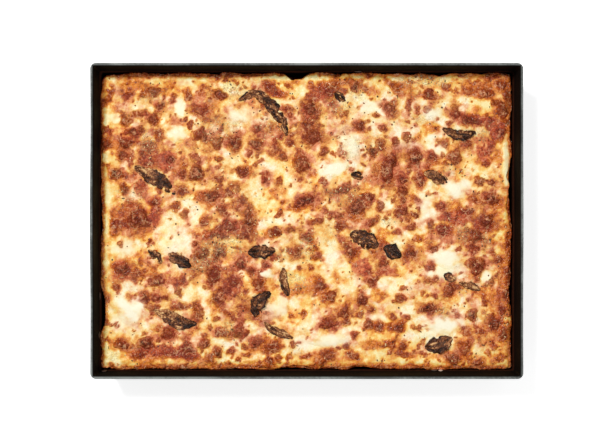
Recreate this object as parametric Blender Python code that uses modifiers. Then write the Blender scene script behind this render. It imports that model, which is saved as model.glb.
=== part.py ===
"""A deep dish pizza, uncut, in the black steel pan that it was baked in.

Lengths are in millimetres until a mesh is made, which is in metres. The pan stands on
z = 0, its long sides run along X, and the centre of its base is the origin.
"""
import math
import random

import bmesh
import bpy
import numpy as np
from mathutils import Vector
from mathutils.bvhtree import BVHTree

MM = 0.001
PIZZA_NAME = "deep_dish_pizza"

# The pan: folded sheet steel with its edge rolled over a wire
RIM_LENGTH = 363.0
RIM_WIDTH = 265.0
PAN_HEIGHT = 60.0
WALL_TAPER = math.radians(4.0)
SHEET = 1.3
ROLL_RADIUS = 1.4
RIM_CORNER_RADIUS = 5.0
WALL_CORNER_RADIUS = 3.4
BASE_EDGE_RADIUS = 2.4
CORNER_STEPS = 4

# Clearances between pieces that touch in the real thing
GAP = 0.3
WALL_GAP = 0.35

# Levels of the food above the pan's underside
CRUST_BOTTOM = SHEET + GAP
CRUST_FLOOR = 29.6
CRUST_SHOULDER = 31.2
CRUST_RIM_TOP = 33.6
CHEESE_BOTTOM = CRUST_FLOOR + GAP
CHEESE_TOP = 34.6

# The food's edge
CELL = 5.3
HEEL_INSET = 1.4
SHOWN_CRUST = 2.7
CORNER_PULL = 2.2
CORNER_SHARPNESS = 40
EDGE_REACH = 6
EDGE_CLIMB = 1.6
EDGE_CLIMB_REACH = 16.0
EDGE_DROP = 1.5
EDGE_DROP_REACH = 3.5
RIM_TOP_SHARE = 0.35
RIM_LIP = 0.3
RIM_RIPPLE = 0.7
FOOT_NOTCH_SHARE = 0.3

# How far the baked food has shrunk from each wall
SHRINKAGE = {"left": 0.2, "right": 2.2, "top": 1.3, "bottom": 0.9}

# Places where the food stands back further: side, place along it, width, depth
NOTCHES = (
    ("top", -9, 15, 5.2),
    ("top", 87, 13, 1.4),
    ("top", 116, 11, 2.0),
    ("bottom", 46, 15, 2.6),
    ("bottom", -10, 24, 1.2),
    ("left", -76, 30, 3.8),
    ("left", 6, 28, 0.9),
    ("right", 28, 32, 2.4),
    ("right", -56, 26, 1.2),
    ("right", 76, 14, 0.8),
)

# Browned blisters: x, y, length, width, turn in degrees
BLISTERS = (
    (-144, 1, 22, 19, 20),
    (-94, 41, 14, 15, 0),
    (-5, 50, 15, 18, 10),
    (5, 72, 16, 16, 0),
    (3, 97, 12, 13, 0),
    (-75, 108, 14, 9, -20),
    (-90, 73, 12, 14, 20),
    (-77, 67, 12, 12, 0),
    (-43, 66, 13, 10, -10),
    (-62, 67, 11, 12, 0),
    (-91, 95, 16, 9, -15),
    (70, 45, 26, 12, 80),
    (93, 54, 17, 12, 100),
    (126, 55, 13, 14, 0),
    (126, 93, 13, 10, 110),
    (71, 96, 12, 10, -40),
    (43, 12, 18, 13, 30),
    (81, 8, 13, 10, 15),
    (81, 25, 11, 11, 0),
    (157, 19, 14, 11, -40),
    (153, 0, 15, 12, 30),
    (144, -13, 11, 11, 0),
    (144, -38, 17, 15, -20),
    (141, -80, 12, 10, 90),
    (160, -87, 11, 11, 0),
    (134, -108, 13, 11, 60),
    (124, -117, 13, 10, -15),
    (104, -75, 15, 9, -5),
    (80, -66, 10, 9, 0),
    (122, -58, 14, 11, 50),
    (88, -28, 15, 10, 15),
    (36, -25, 17, 9, -55),
    (19, -87, 17, 11, 20),
    (20, -64, 10, 9, 0),
    (47, -67, 13, 10, 100),
    (31, -78, 11, 9, 70),
    (-9, -27, 11, 9, 30),
    (-41, -53, 15, 10, 90),
    (-56, -37, 12, 11, 60),
    (-57, -95, 15, 14, 0),
    (-29, -108, 15, 9, 8),
    (-43, -104, 13, 9, 20),
    (-75, -65, 17, 12, 70),
    (-80, -46, 16, 12, 80),
    (-90, -27, 11, 11, 0),
    (-128, -52, 15, 9, 0),
    (-157, -41, 14, 12, 10),
    (-119, -96, 13, 12, 0),
    (-158, -105, 15, 9, -10),
    (-138, -104, 15, 10, 10),
    (-102, -108, 11, 10, 0),
    (-93, -77, 17, 9, 100),
    (-50, 2, 27, 9, 92),
    (-2, 17, 20, 10, 20),
    (-27, -10, 10, 9, 0),
    (-55, 42, 11, 10, -20),
    (-162, 40, 12, 11, 0),
    (-171, 65, 11, 9, 0),
    (-155, 66, 13, 9, 10),
    (-130, 110, 11, 10, 0),
    (-131, 87, 10, 11, 0),
    (167, 95, 15, 10, 100),
    (22, 113, 14, 12, 60),
    (-82, 21, 18, 10, 15),
)
BLISTER_RISE = 0.21
BLISTER_LEAST_RISE = 0.9
SMALLEST_BLISTER = 8.0
EXTRA_BLISTERS = 26
BLISTER_SEED = 41

# Soft pools of fresh cheese: x, y, length, width, turn in degrees
FRESH_CHEESE = (
    (24, 44, 22, 13, 15),
    (39, 63, 21, 12, 95),
    (126, 27, 25, 19, 0),
    (119, -32, 25, 17, -10),
    (116, -88, 33, 18, 0),
    (-151, -75, 31, 23, -20),
    (-111, 75, 19, 17, 0),
    (-59, 89, 22, 13, 0),
    (106, 92, 19, 12, 0),
    (-34, -45, 14, 9, 0),
    (-23, -74, 20, 15, 90),
    (20, -102, 36, 13, 0),
)
POOL_EDGE = 0.5
POOL_RISE = 1.3
POOL_SIDES = 14

# Basil leaves: points along the midrib, width
BASIL = (
    (((-58, 103), (-46, 108), (-36, 104), (-28, 96), (-21, 85), (-17, 73)), 9.5),
    (((-147, 46), (-138, 41), (-126, 35), (-112, 23)), 11.0),
    (((116, 79), (125, 74), (134, 73), (144, 76)), 9.0),
    (((100, 41), (110, 38), (121, 33)), 9.5),
    (((37, -11), (48, -15), (61, -21)), 15.0),
    (((66, -22), (73, -26), (80, -31)), 13.0),
    (((-50, -27), (-38, -26), (-27, -25)), 11.5),
    (((-135, -25), (-129, -30), (-124, -36)), 7.5),
    (((-118, -28), (-109, -33), (-99, -39)), 11.5),
    (((-130, -76), (-119, -81), (-107, -87), (-94, -88)), 11.5),
    (((-20, -40), (-20, -50), (-16, -64)), 8.0),
    (((-31, -61), (-39, -67), (-43, -74), (-44, -82)), 11.5),
    (((-36, -86), (-31, -92), (-21, -96), (-12, -100)), 6.5),
    (((101, -108), (112, -106), (124, -100)), 13.5),
    (((38, 40), (48, 37)), 8.5),
    (((24, 109), (34, 102)), 9.0),
    (((117, -46), (127, -50)), 7.5),
    (((130, -53), (139, -55), (148, -59)), 7.0),
)
LEAF_THICKNESS = 0.7
LEAF_STEP = 4.4
LEAF_WAVE = 1.0
LEAF_EDGE_CURL = 1.3
BED_MARGIN = 5.5

PAN_COLOUR = (0.012, 0.011, 0.010)
CRUST_COLOUR = (0.33, 0.13, 0.05)
CHEESE_COLOUR = (0.80, 0.50, 0.20)
FRESH_CHEESE_COLOUR = (0.90, 0.86, 0.74)
BASIL_COLOUR = (0.035, 0.032, 0.014)


def clear_scene():
    """Removes what the scene starts with."""
    for found in list(bpy.data.objects):
        bpy.data.objects.remove(found, do_unlink=True)


def collection(name):
    """A new collection in the scene."""
    made = bpy.data.collections.new(name)
    bpy.context.scene.collection.children.link(made)
    return made


def material(name, colour, roughness, metallic=0.0):
    """A plain Principled material."""
    made = bpy.data.materials.new(name)
    made.use_nodes = True
    shader = made.node_tree.nodes["Principled BSDF"]
    shader.inputs["Base Color"].default_value = (*colour, 1.0)
    shader.inputs["Roughness"].default_value = roughness
    shader.inputs["Metallic"].default_value = metallic
    return made


def object_from_bmesh(name, shape, group, finish):
    """Turns a bmesh in millimetres into a smooth-shaded object in metres."""
    bmesh.ops.scale(shape, vec=(MM, MM, MM), verts=shape.verts)
    mesh = bpy.data.meshes.new(name)
    shape.to_mesh(mesh)
    shape.free()
    mesh.materials.append(finish)
    mesh.shade_smooth()
    mesh.set_sharp_from_angle(angle=math.radians(50.0))
    made = bpy.data.objects.new(name, mesh)
    group.objects.link(made)
    return made


def wall_half(level):
    """Half the length and width between the pan's walls at a level."""
    lean = (PAN_HEIGHT - level) * math.tan(WALL_TAPER)
    roll = 2.0 * ROLL_RADIUS
    return RIM_LENGTH / 2 - roll - lean, RIM_WIDTH / 2 - roll - lean


def make_pan_shell(group, finish):
    """The folded tray: a tapered open box, rounded at its corners and foot."""
    roll_level = PAN_HEIGHT - ROLL_RADIUS
    skin = SHEET / math.cos(WALL_TAPER)
    top = [half + skin for half in wall_half(roll_level)]
    foot = [half + skin for half in wall_half(0.0)]
    shape = bmesh.new()
    bmesh.ops.create_cube(shape, size=2.0)
    for vert in shape.verts:
        half, level = (top, roll_level) if vert.co.z > 0 else (foot, 0.0)
        vert.co = (vert.co.x * half[0], vert.co.y * half[1], level)
    lid = [face for face in shape.faces if face.calc_center_median().z > roll_level - 1.0]
    bmesh.ops.delete(shape, geom=lid, context="FACES_ONLY")
    upright = [edge for edge in shape.edges if abs(edge.verts[0].co.z - edge.verts[1].co.z) > 1.0]
    bmesh.ops.bevel(
        shape, geom=upright, offset=WALL_CORNER_RADIUS, offset_type="OFFSET",
        segments=CORNER_STEPS, profile=0.5, affect="EDGES", clamp_overlap=True,
    )
    low = [edge for edge in shape.edges if all(vert.co.z < 0.01 for vert in edge.verts)]
    bmesh.ops.bevel(
        shape, geom=low, offset=BASE_EDGE_RADIUS, offset_type="OFFSET",
        segments=3, profile=0.5, affect="EDGES", clamp_overlap=True,
    )
    bmesh.ops.recalc_face_normals(shape, faces=shape.faces)
    base = min(shape.faces, key=lambda face: face.calc_center_median().z)
    if base.normal.z > 0:
        bmesh.ops.reverse_faces(shape, faces=shape.faces)
    pan = object_from_bmesh("pan", shape, group, finish)
    thicken = pan.modifiers.new("sheet", "SOLIDIFY")
    thicken.thickness = SHEET * MM
    thicken.offset = -1.0
    thicken.use_even_offset = True
    return pan


def rim_path():
    """The middle of the rolled rim: a rectangle with round corners."""
    radius = RIM_CORNER_RADIUS - ROLL_RADIUS
    reach_x = RIM_LENGTH / 2 - RIM_CORNER_RADIUS
    reach_y = RIM_WIDTH / 2 - RIM_CORNER_RADIUS
    points = []
    for quarter in range(4):
        side_x = 1 if quarter in (0, 3) else -1
        side_y = 1 if quarter in (0, 1) else -1
        for step in range(CORNER_STEPS + 1):
            turn = math.pi / 2 * (quarter + step / CORNER_STEPS)
            points.append((
                side_x * reach_x + radius * math.cos(turn),
                side_y * reach_y + radius * math.sin(turn),
            ))
    return points


def make_rolled_rim(group):
    """The edge of the sheet rolled round a wire, as a closed tube."""
    points = rim_path()
    curve = bpy.data.curves.new("rolled_rim", "CURVE")
    curve.dimensions = "3D"
    curve.bevel_depth = ROLL_RADIUS * MM
    curve.bevel_resolution = 2
    spline = curve.splines.new("POLY")
    spline.points.add(len(points) - 1)
    for place, (x, y) in zip(spline.points, points):
        place.co = (x * MM, y * MM, (PAN_HEIGHT - ROLL_RADIUS) * MM, 1.0)
    spline.use_cyclic_u = True
    drawn = bpy.data.objects.new("rolled_rim_path", curve)
    group.objects.link(drawn)
    seen = drawn.evaluated_get(bpy.context.evaluated_depsgraph_get())
    mesh = bpy.data.meshes.new_from_object(seen)
    shape = bmesh.new()
    shape.from_mesh(mesh)
    bmesh.ops.remove_doubles(shape, verts=shape.verts, dist=0.00001)
    bmesh.ops.recalc_face_normals(shape, faces=shape.faces)
    shape.to_mesh(mesh)
    shape.free()
    rim = bpy.data.objects.new("rolled_rim", mesh)
    rim.matrix_world = drawn.matrix_world.copy()
    group.objects.link(rim)
    bpy.data.objects.remove(drawn, do_unlink=True)
    rim.hide_render = True
    rim.display_type = "WIRE"
    return rim


def make_pan(parts, cutters, finish):
    """The pan: its tray with the rolled rim joined on."""
    pan = make_pan_shell(parts, finish)
    join = pan.modifiers.new("rolled_rim", "BOOLEAN")
    join.operation = "UNION"
    join.object = make_rolled_rim(cutters)
    return pan


def notch_depth(side, along):
    """How far the food stands back from the wall at a place along a side."""
    depth = 0.0
    for where, middle, width, most in NOTCHES:
        if where == side:
            depth += most * math.exp(-(((along - middle) / (0.55 * width)) ** 4))
    return depth


def crust_inset(side, along):
    """The crust's own unevenness against the wall, with its notches."""
    start = {"right": 0.0, "left": 1.9, "top": 3.1, "bottom": 4.6}[side]
    waver = 0.45 * math.sin(along / 6.1 + start) + 0.3 * math.sin(along / 3.3 + 2.0 * start)
    return WALL_GAP + max(0.0, SHRINKAGE[side] + waver) + notch_depth(side, along)


def shown_crust(side, along):
    """The width of crust that shows outside the cheese."""
    start = {"right": 0.7, "left": 2.2, "top": 5.0, "bottom": 1.2}[side]
    waver = 0.9 * math.sin(along / 11.0 + start) + 0.6 * math.sin(along / 4.1 - start)
    return SHOWN_CRUST + waver


def food_point(u, v, half, extra_inset):
    """Lays a point of the unit square into the food's outline.

    extra_inset(side, along) says how far the outline stands in from half. The shift fades
    out quickly towards the middle.
    """
    side_x = "right" if u > 0 else "left"
    side_y = "top" if v > 0 else "bottom"
    inset_x = extra_inset(side_x, v * half[1]) * abs(u) ** EDGE_REACH
    inset_y = extra_inset(side_y, u * half[0]) * abs(v) ** EDGE_REACH
    corner = CORNER_PULL * (abs(u) * abs(v)) ** CORNER_SHARPNESS
    x = math.copysign(abs(u) * half[0] - inset_x - corner, u)
    y = math.copysign(abs(v) * half[1] - inset_y - corner, v)
    return x, y


def unit_perimeter(cells_x, cells_y):
    """The unit square's edge points, in order against the clock."""
    along_x = [-1 + 2 * i / cells_x for i in range(cells_x)]
    along_y = [-1 + 2 * j / cells_y for j in range(cells_y)]
    points = [(u, -1) for u in along_x]
    points += [(1, v) for v in along_y]
    points += [(-u, 1) for u in along_x]
    points += [(-1, -v) for v in along_y]
    return points


def grid_cells():
    """How many cells of the cheese's grid lie along X and Y."""
    half = wall_half(CHEESE_TOP)
    return round(2 * half[0] / CELL), round(2 * half[1] / CELL)


def loft(shape, rings):
    """Joins rings of equal length into one closed body; both ends fan out from a middle point.

    It gives back the middle point of the upper end.
    """
    made = [[shape.verts.new(point) for point in ring] for ring in rings]
    count = len(made[0])
    for lower, upper in zip(made, made[1:]):
        for here in range(count):
            there = (here + 1) % count
            shape.faces.new((lower[here], lower[there], upper[there], upper[here]))
    ends = [shape.faces.new(list(reversed(made[0]))), shape.faces.new(made[-1])]
    middles = bmesh.ops.poke(shape, faces=ends)["verts"]
    return max(middles, key=lambda vert: vert.co.z)


def make_crust(group, finish):
    """The dough: it fills the pan, and its browned edge stands round the cheese."""
    perimeter = unit_perimeter(*grid_cells())

    def ring(level, inset):
        half = wall_half(level)
        return [(*food_point(u, v, half, inset), level) for u, v in perimeter]

    def at_foot(side, along):
        return HEEL_INSET + FOOT_NOTCH_SHARE * notch_depth(side, along)

    def at_top(side, along):
        return crust_inset(side, along) + RIM_TOP_SHARE * shown_crust(side, along)

    def at_cheese(side, along):
        return crust_inset(side, along) + shown_crust(side, along)

    rings = [
        ring(CRUST_BOTTOM, at_foot),
        ring(CRUST_SHOULDER, crust_inset),
        ring(CRUST_RIM_TOP, at_top),
        ring(CRUST_RIM_TOP + RIM_LIP, at_cheese),
        ring(CRUST_FLOOR, at_cheese),
    ]
    inner = rings[3]
    rings[4] = [(x, y, CRUST_FLOOR) for x, y, _ in inner]
    for number in (1, 2, 3):
        rings[number] = [
            (x, y, level + RIM_RIPPLE * math.sin(x / 7.0) * math.cos(y / 6.0))
            for x, y, level in rings[number]
        ]
    shape = bmesh.new()
    loft(shape, rings)
    return object_from_bmesh("crust", shape, group, finish)


def lobed_distance(x, y, spot):
    """Distance from a spot's middle, 1 at its uneven outline."""
    middle_x, middle_y, length, width, turn = spot
    angle = math.radians(turn)
    dx = x - middle_x
    dy = y - middle_y
    along = (dx * math.cos(angle) + dy * math.sin(angle)) / (length / 2)
    across = (dy * math.cos(angle) - dx * math.sin(angle)) / (width / 2)
    bearing = np.arctan2(across, along)
    start = 0.37 * middle_x + 0.61 * middle_y
    lobes = 1.0 + 0.11 * np.sin(3 * bearing + start) + 0.07 * np.sin(5 * bearing - 2 * start)
    return np.hypot(along, across) / lobes


def segment_distance(x, y, start, end):
    """Distance from points to a straight line between two places."""
    run = (end[0] - start[0], end[1] - start[1])
    length = run[0] ** 2 + run[1] ** 2
    part = np.clip(((x - start[0]) * run[0] + (y - start[1]) * run[1]) / length, 0.0, 1.0)
    return np.hypot(x - start[0] - part * run[0], y - start[1] - part * run[1])


def midrib_distance(x, y, midrib):
    """Distance from points to a leaf's midrib."""
    return np.minimum.reduce([
        segment_distance(x, y, start, end) for start, end in zip(midrib, midrib[1:])
    ])


def smooth_step(value):
    """An S curve from 0 at 0 to 1 at 1."""
    part = np.clip(value, 0.0, 1.0)
    return part * part * (3.0 - 2.0 * part)


def rolling(x, y):
    """The slow rises and hollows of the baked top."""
    slow = 0.8 * np.sin(x / 23.0 + 1.3) * np.cos(y / 19.0 - 0.4)
    return slow + 0.5 * np.sin(x / 12.0 - y / 15.0 + 2.0) + 0.5 * np.cos(x / 41.0 + y / 17.0)


def extra_blisters():
    """Blisters scattered by a seeded draw where no named feature lies."""
    draw = random.Random(BLISTER_SEED)
    found = []
    half = wall_half(CHEESE_TOP)
    while len(found) < EXTRA_BLISTERS:
        x = draw.uniform(-half[0] + 10, half[0] - 10)
        y = draw.uniform(-half[1] + 10, half[1] - 10)
        length = SMALLEST_BLISTER + 3.0 * draw.random() ** 2
        width = length * draw.uniform(0.7, 1.0)
        turn = draw.uniform(0, 180)
        taken = [spot for spot in BLISTERS + FRESH_CHEESE + tuple(found)
                 if math.hypot(spot[0] - x, spot[1] - y) < 0.5 * (spot[2] + length)]
        leaf = min(float(midrib_distance(x, y, midrib)) for midrib, _ in BASIL)
        if not taken and leaf > 10.0:
            found.append((x, y, length, width, turn))
    return tuple(found)


def cheese_level(x, y, blisters):
    """The height of the melted cheese over the pan's underside."""
    half = wall_half(CHEESE_TOP)
    to_edge = np.minimum(half[0] - np.abs(x), half[1] - np.abs(y))
    bed = CHEESE_TOP + rolling(x, y)
    bed = bed + EDGE_CLIMB * smooth_step(1.0 - to_edge / EDGE_CLIMB_REACH)
    level = bed.copy()
    for spot in blisters:
        reach = lobed_distance(x, y, spot)
        rise = BLISTER_LEAST_RISE + BLISTER_RISE * spot[3]
        level = level + rise * smooth_step(1.15 - reach)
    for midrib, width in BASIL:
        reach = midrib_distance(x, y, midrib) - width / 2
        keep = smooth_step(reach / BED_MARGIN)
        level = bed + (level - bed) * keep
    for spot in FRESH_CHEESE:
        reach = (lobed_distance(x, y, spot) - 1.0) * spot[3] / 2
        keep = smooth_step(reach / BED_MARGIN)
        flat = CHEESE_TOP + rolling(np.float64(spot[0]), np.float64(spot[1]))
        level = flat + (level - flat) * keep
    drop = SHOWN_CRUST + EDGE_DROP_REACH
    return level - EDGE_DROP * smooth_step(1.0 - (to_edge - SHOWN_CRUST) / drop)


def make_cheese(group, finish):
    """The melted cheese, with its blisters and its uneven edge."""
    cells_x, cells_y = grid_cells()
    half = wall_half(CRUST_RIM_TOP + GAP)

    def inset(side, along):
        return crust_inset(side, along) + shown_crust(side, along) + GAP

    shape = bmesh.new()
    bmesh.ops.create_grid(shape, x_segments=cells_x, y_segments=cells_y, size=1.0)
    for vert in shape.verts:
        x, y = food_point(vert.co.x, vert.co.y, half, inset)
        vert.co = (x, y, 0.0)
    places = np.array([vert.co[:] for vert in shape.verts])
    blisters = BLISTERS + extra_blisters()
    levels = cheese_level(places[:, 0], places[:, 1], blisters)
    for vert, level in zip(shape.verts, levels):
        vert.co.z = level
    rim = [edge for edge in shape.edges if edge.is_boundary]
    grown = bmesh.ops.extrude_edge_only(shape, edges=rim)["geom"]
    for vert in grown:
        if isinstance(vert, bmesh.types.BMVert):
            vert.co.z = CHEESE_BOTTOM
    bottom = [edge for edge in shape.edges if edge.is_boundary]
    underside = bmesh.ops.contextual_create(shape, geom=bottom)["faces"]
    bmesh.ops.poke(shape, faces=underside)
    bmesh.ops.recalc_face_normals(shape, faces=shape.faces)
    return object_from_bmesh("cheese", shape, group, finish)


def surface_tree(objects):
    """A search tree over the faces of objects in metres."""
    corners = []
    faces = []
    for item in objects:
        start = len(corners)
        corners += [vert.co.copy() for vert in item.data.vertices]
        faces += [[start + index for index in face.vertices] for face in item.data.polygons]
    return BVHTree.FromPolygons(corners, faces)


def seat(tree, x, y, reach):
    """The highest point of what lies below a place, looking a little round it."""
    above = PAN_HEIGHT * MM
    highest = 0.0
    for step in range(9):
        turn = math.pi / 4 * step
        out = 0.0 if step == 8 else reach
        start = Vector(((x + out * math.cos(turn)) * MM, (y + out * math.sin(turn)) * MM, above))
        hit = tree.ray_cast(start, Vector((0.0, 0.0, -1.0)))[0]
        if hit is not None:
            highest = max(highest, hit.z / MM)
    return highest


def make_fresh_cheese(number, spot, tree, group, finish):
    """A low soft mound of fresh cheese on the melted cheese."""
    middle_x, middle_y, length, width, turn = spot
    angle = math.radians(turn)

    def ring(scale, level):
        points = []
        for side in range(POOL_SIDES):
            bearing = 2 * math.pi * side / POOL_SIDES
            lobes = 1.0 + 0.10 * math.sin(3 * bearing + number) + 0.07 * math.sin(4 * bearing - number)
            along = scale * lobes * length / 2 * math.cos(bearing)
            across = scale * lobes * width / 2 * math.sin(bearing)
            x = middle_x + along * math.cos(angle) - across * math.sin(angle)
            y = middle_y + along * math.sin(angle) + across * math.cos(angle)
            points.append((x, y, level))
        return points

    outline = ring(1.0, 0.0) + ring(0.5, 0.0)
    bottom = GAP + max(seat(tree, x, y, 2.0) for x, y, _ in outline)
    shape = bmesh.new()
    crown = loft(shape, [
        ring(0.97, bottom),
        ring(1.0, bottom + POOL_EDGE),
        ring(0.80, bottom + POOL_EDGE + 0.55 * POOL_RISE),
        ring(0.45, bottom + POOL_EDGE + 0.9 * POOL_RISE),
    ])
    crown.co.z = bottom + POOL_EDGE + POOL_RISE
    return object_from_bmesh(f"fresh_cheese_{number:02d}", shape, group, finish)


def along_midrib(midrib, part):
    """A place and heading on a leaf's midrib, from 0 at the stalk to 1 at the tip."""
    legs = [math.dist(start, end) for start, end in zip(midrib, midrib[1:])]
    left = part * sum(legs)
    for index, leg in enumerate(legs):
        if left <= leg or index == len(legs) - 1:
            start, end = midrib[index], midrib[index + 1]
            share = left / leg
            heading = math.atan2(end[1] - start[1], end[0] - start[0])
            place = (start[0] + share * (end[0] - start[0]), start[1] + share * (end[1] - start[1]))
            return place, heading
        left -= leg
    return midrib[-1], 0.0


def make_basil(number, midrib, width, tree, group, finish):
    """A baked basil leaf: a thin wavy sheet, narrow at both ends."""
    length = sum(math.dist(start, end) for start, end in zip(midrib, midrib[1:]))
    steps = max(4, round(length / LEAF_STEP))
    columns = 4 if width > 8.0 else 2
    shape = bmesh.new()
    rows = []
    for step in range(steps + 1):
        part = step / steps
        (x, y), heading = along_midrib(midrib, part)
        fullness = math.sin(math.pi * (0.07 + 0.86 * part)) ** 0.6
        row = []
        for column in range(columns + 1):
            across = 2 * column / columns - 1
            ruffle = 1.0 + 0.14 * math.sin(5.1 * step + number + 2 * across)
            out = across * fullness * ruffle * width / 2
            place_x = x - out * math.sin(heading)
            place_y = y + out * math.cos(heading)
            wave = LEAF_WAVE * 0.5 * (1 + math.sin(1.9 * step + 1.7 * number + 1.3 * across))
            curl = LEAF_EDGE_CURL * across * across * (0.5 + 0.5 * math.sin(1.1 * step + number))
            level = seat(tree, place_x, place_y, LEAF_STEP * 0.7) + GAP + wave + curl
            row.append(shape.verts.new((place_x, place_y, level)))
        rows.append(row)
    for lower, upper in zip(rows, rows[1:]):
        for column in range(columns):
            corners = (lower[column], upper[column], upper[column + 1], lower[column + 1])
            shape.faces.new(corners)
    bmesh.ops.recalc_face_normals(shape, faces=shape.faces)
    if sum(face.normal.z for face in shape.faces) < 0:
        bmesh.ops.reverse_faces(shape, faces=shape.faces)
    bmesh.ops.triangulate(shape, faces=shape.faces)
    leaf = object_from_bmesh(f"basil_{number:02d}", shape, group, finish)
    thicken = leaf.modifiers.new("leaf_thickness", "SOLIDIFY")
    thicken.thickness = LEAF_THICKNESS * MM
    thicken.offset = 1.0
    return leaf


def main():
    clear_scene()
    parts = collection(PIZZA_NAME)
    cutters = collection("guides")
    black_steel = material("black_steel", PAN_COLOUR, 0.45, 0.8)
    baked_crust = material("baked_crust", CRUST_COLOUR, 0.7)
    melted_cheese = material("melted_cheese", CHEESE_COLOUR, 0.4)
    white_cheese = material("white_cheese", FRESH_CHEESE_COLOUR, 0.35)
    baked_basil = material("baked_basil", BASIL_COLOUR, 0.55)

    make_pan(parts, cutters, black_steel)
    make_crust(parts, baked_crust)
    cheese = make_cheese(parts, melted_cheese)
    on_cheese = surface_tree([cheese])
    pools = [
        make_fresh_cheese(number, spot, on_cheese, parts, white_cheese)
        for number, spot in enumerate(FRESH_CHEESE, start=1)
    ]
    on_all = surface_tree([cheese] + pools)
    for number, (midrib, width) in enumerate(BASIL, start=1):
        make_basil(number, midrib, width, on_all, parts, baked_basil)


main()
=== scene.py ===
"""The looks of a deep dish pizza in its black steel pan, seen from straight above.

Lengths are in millimetres, in the model's own frame, and become metres when a mesh is
made. The floor, lights, camera and materials are in metres. The solids were made from
the same named features, apart from the small spots, patches, flecks and scraps, which
are in the looks alone.
"""
import math
import random

import bmesh
import bpy
import numpy as np
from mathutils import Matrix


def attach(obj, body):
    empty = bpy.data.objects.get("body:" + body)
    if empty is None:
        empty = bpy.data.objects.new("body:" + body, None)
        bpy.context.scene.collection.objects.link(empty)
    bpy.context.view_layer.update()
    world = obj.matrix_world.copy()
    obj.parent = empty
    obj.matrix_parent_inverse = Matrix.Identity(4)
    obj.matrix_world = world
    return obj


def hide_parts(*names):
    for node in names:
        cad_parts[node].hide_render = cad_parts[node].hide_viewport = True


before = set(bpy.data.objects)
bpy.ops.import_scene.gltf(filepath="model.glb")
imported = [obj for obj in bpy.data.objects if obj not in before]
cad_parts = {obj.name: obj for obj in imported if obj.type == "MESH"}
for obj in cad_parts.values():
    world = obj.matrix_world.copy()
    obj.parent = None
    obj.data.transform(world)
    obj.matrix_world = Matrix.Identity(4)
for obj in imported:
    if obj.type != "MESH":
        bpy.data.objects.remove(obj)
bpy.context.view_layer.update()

MM = 0.001

# The pan
RIM_LENGTH = 363.0
RIM_WIDTH = 265.0
PAN_HEIGHT = 60.0
WALL_TAPER = math.radians(4.0)
SHEET = 1.3
ROLL_RADIUS = 1.4
RIM_CORNER_RADIUS = 5.0
WALL_CORNER_RADIUS = 3.4
BASE_EDGE_RADIUS = 2.4
WALL_WAVE = 0.22  # how far the walls swing in and out
WALL_SETBACK = 0.23  # keeps the walls inside the model's box

# Levels of the food
GAP = 0.3
WALL_GAP = 0.35
CRUST_BOTTOM = SHEET + GAP
CRUST_FLOOR = 29.6
CRUST_SHOULDER = 31.2
CRUST_RIM_TOP = 33.6
CHEESE_BOTTOM = CRUST_FLOOR + GAP
CHEESE_TOP = 34.6

# The food's edge
HEEL_INSET = 1.4
SHOWN_CRUST = 2.7
ROUND_CORNER = (3.2, 22)  # how far a corner is pulled in, and how sharply
SHARP_CORNER = (0.9, 40)
EDGE_REACH = 6
EDGE_CLIMB = 1.6
EDGE_CLIMB_REACH = 16.0
EDGE_DROP = 1.5
EDGE_DROP_REACH = 3.5

# How far the baked food has shrunk from each wall
SHRINKAGE = {"left": 0.0, "right": 1.6, "top": 0.9, "bottom": 0.5}

# Where each side's unevenness starts, so that no two sides are alike
WAVER_START = {"right": 0.0, "left": 1.9, "top": 3.1, "bottom": 4.6}
SHOWN_START = {"right": 0.7, "left": 2.2, "top": 5.0, "bottom": 1.2}
RAGGED_START = {"right": 11.0, "left": 37.0, "top": 71.0, "bottom": 97.0}

# Places where the food stands back further: side, place along it, width, depth
NOTCHES = (
    ("top", -9, 15, 5.2), ("top", 87, 13, 1.4), ("top", 116, 11, 2.0), ("bottom", 46, 15, 2.6),
    ("bottom", -10, 24, 1.2), ("left", -76, 30, 3.8), ("left", 6, 28, 0.9), ("right", 28, 32, 2.4),
    ("right", -56, 26, 1.2), ("right", 76, 14, 0.8),
)

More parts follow.
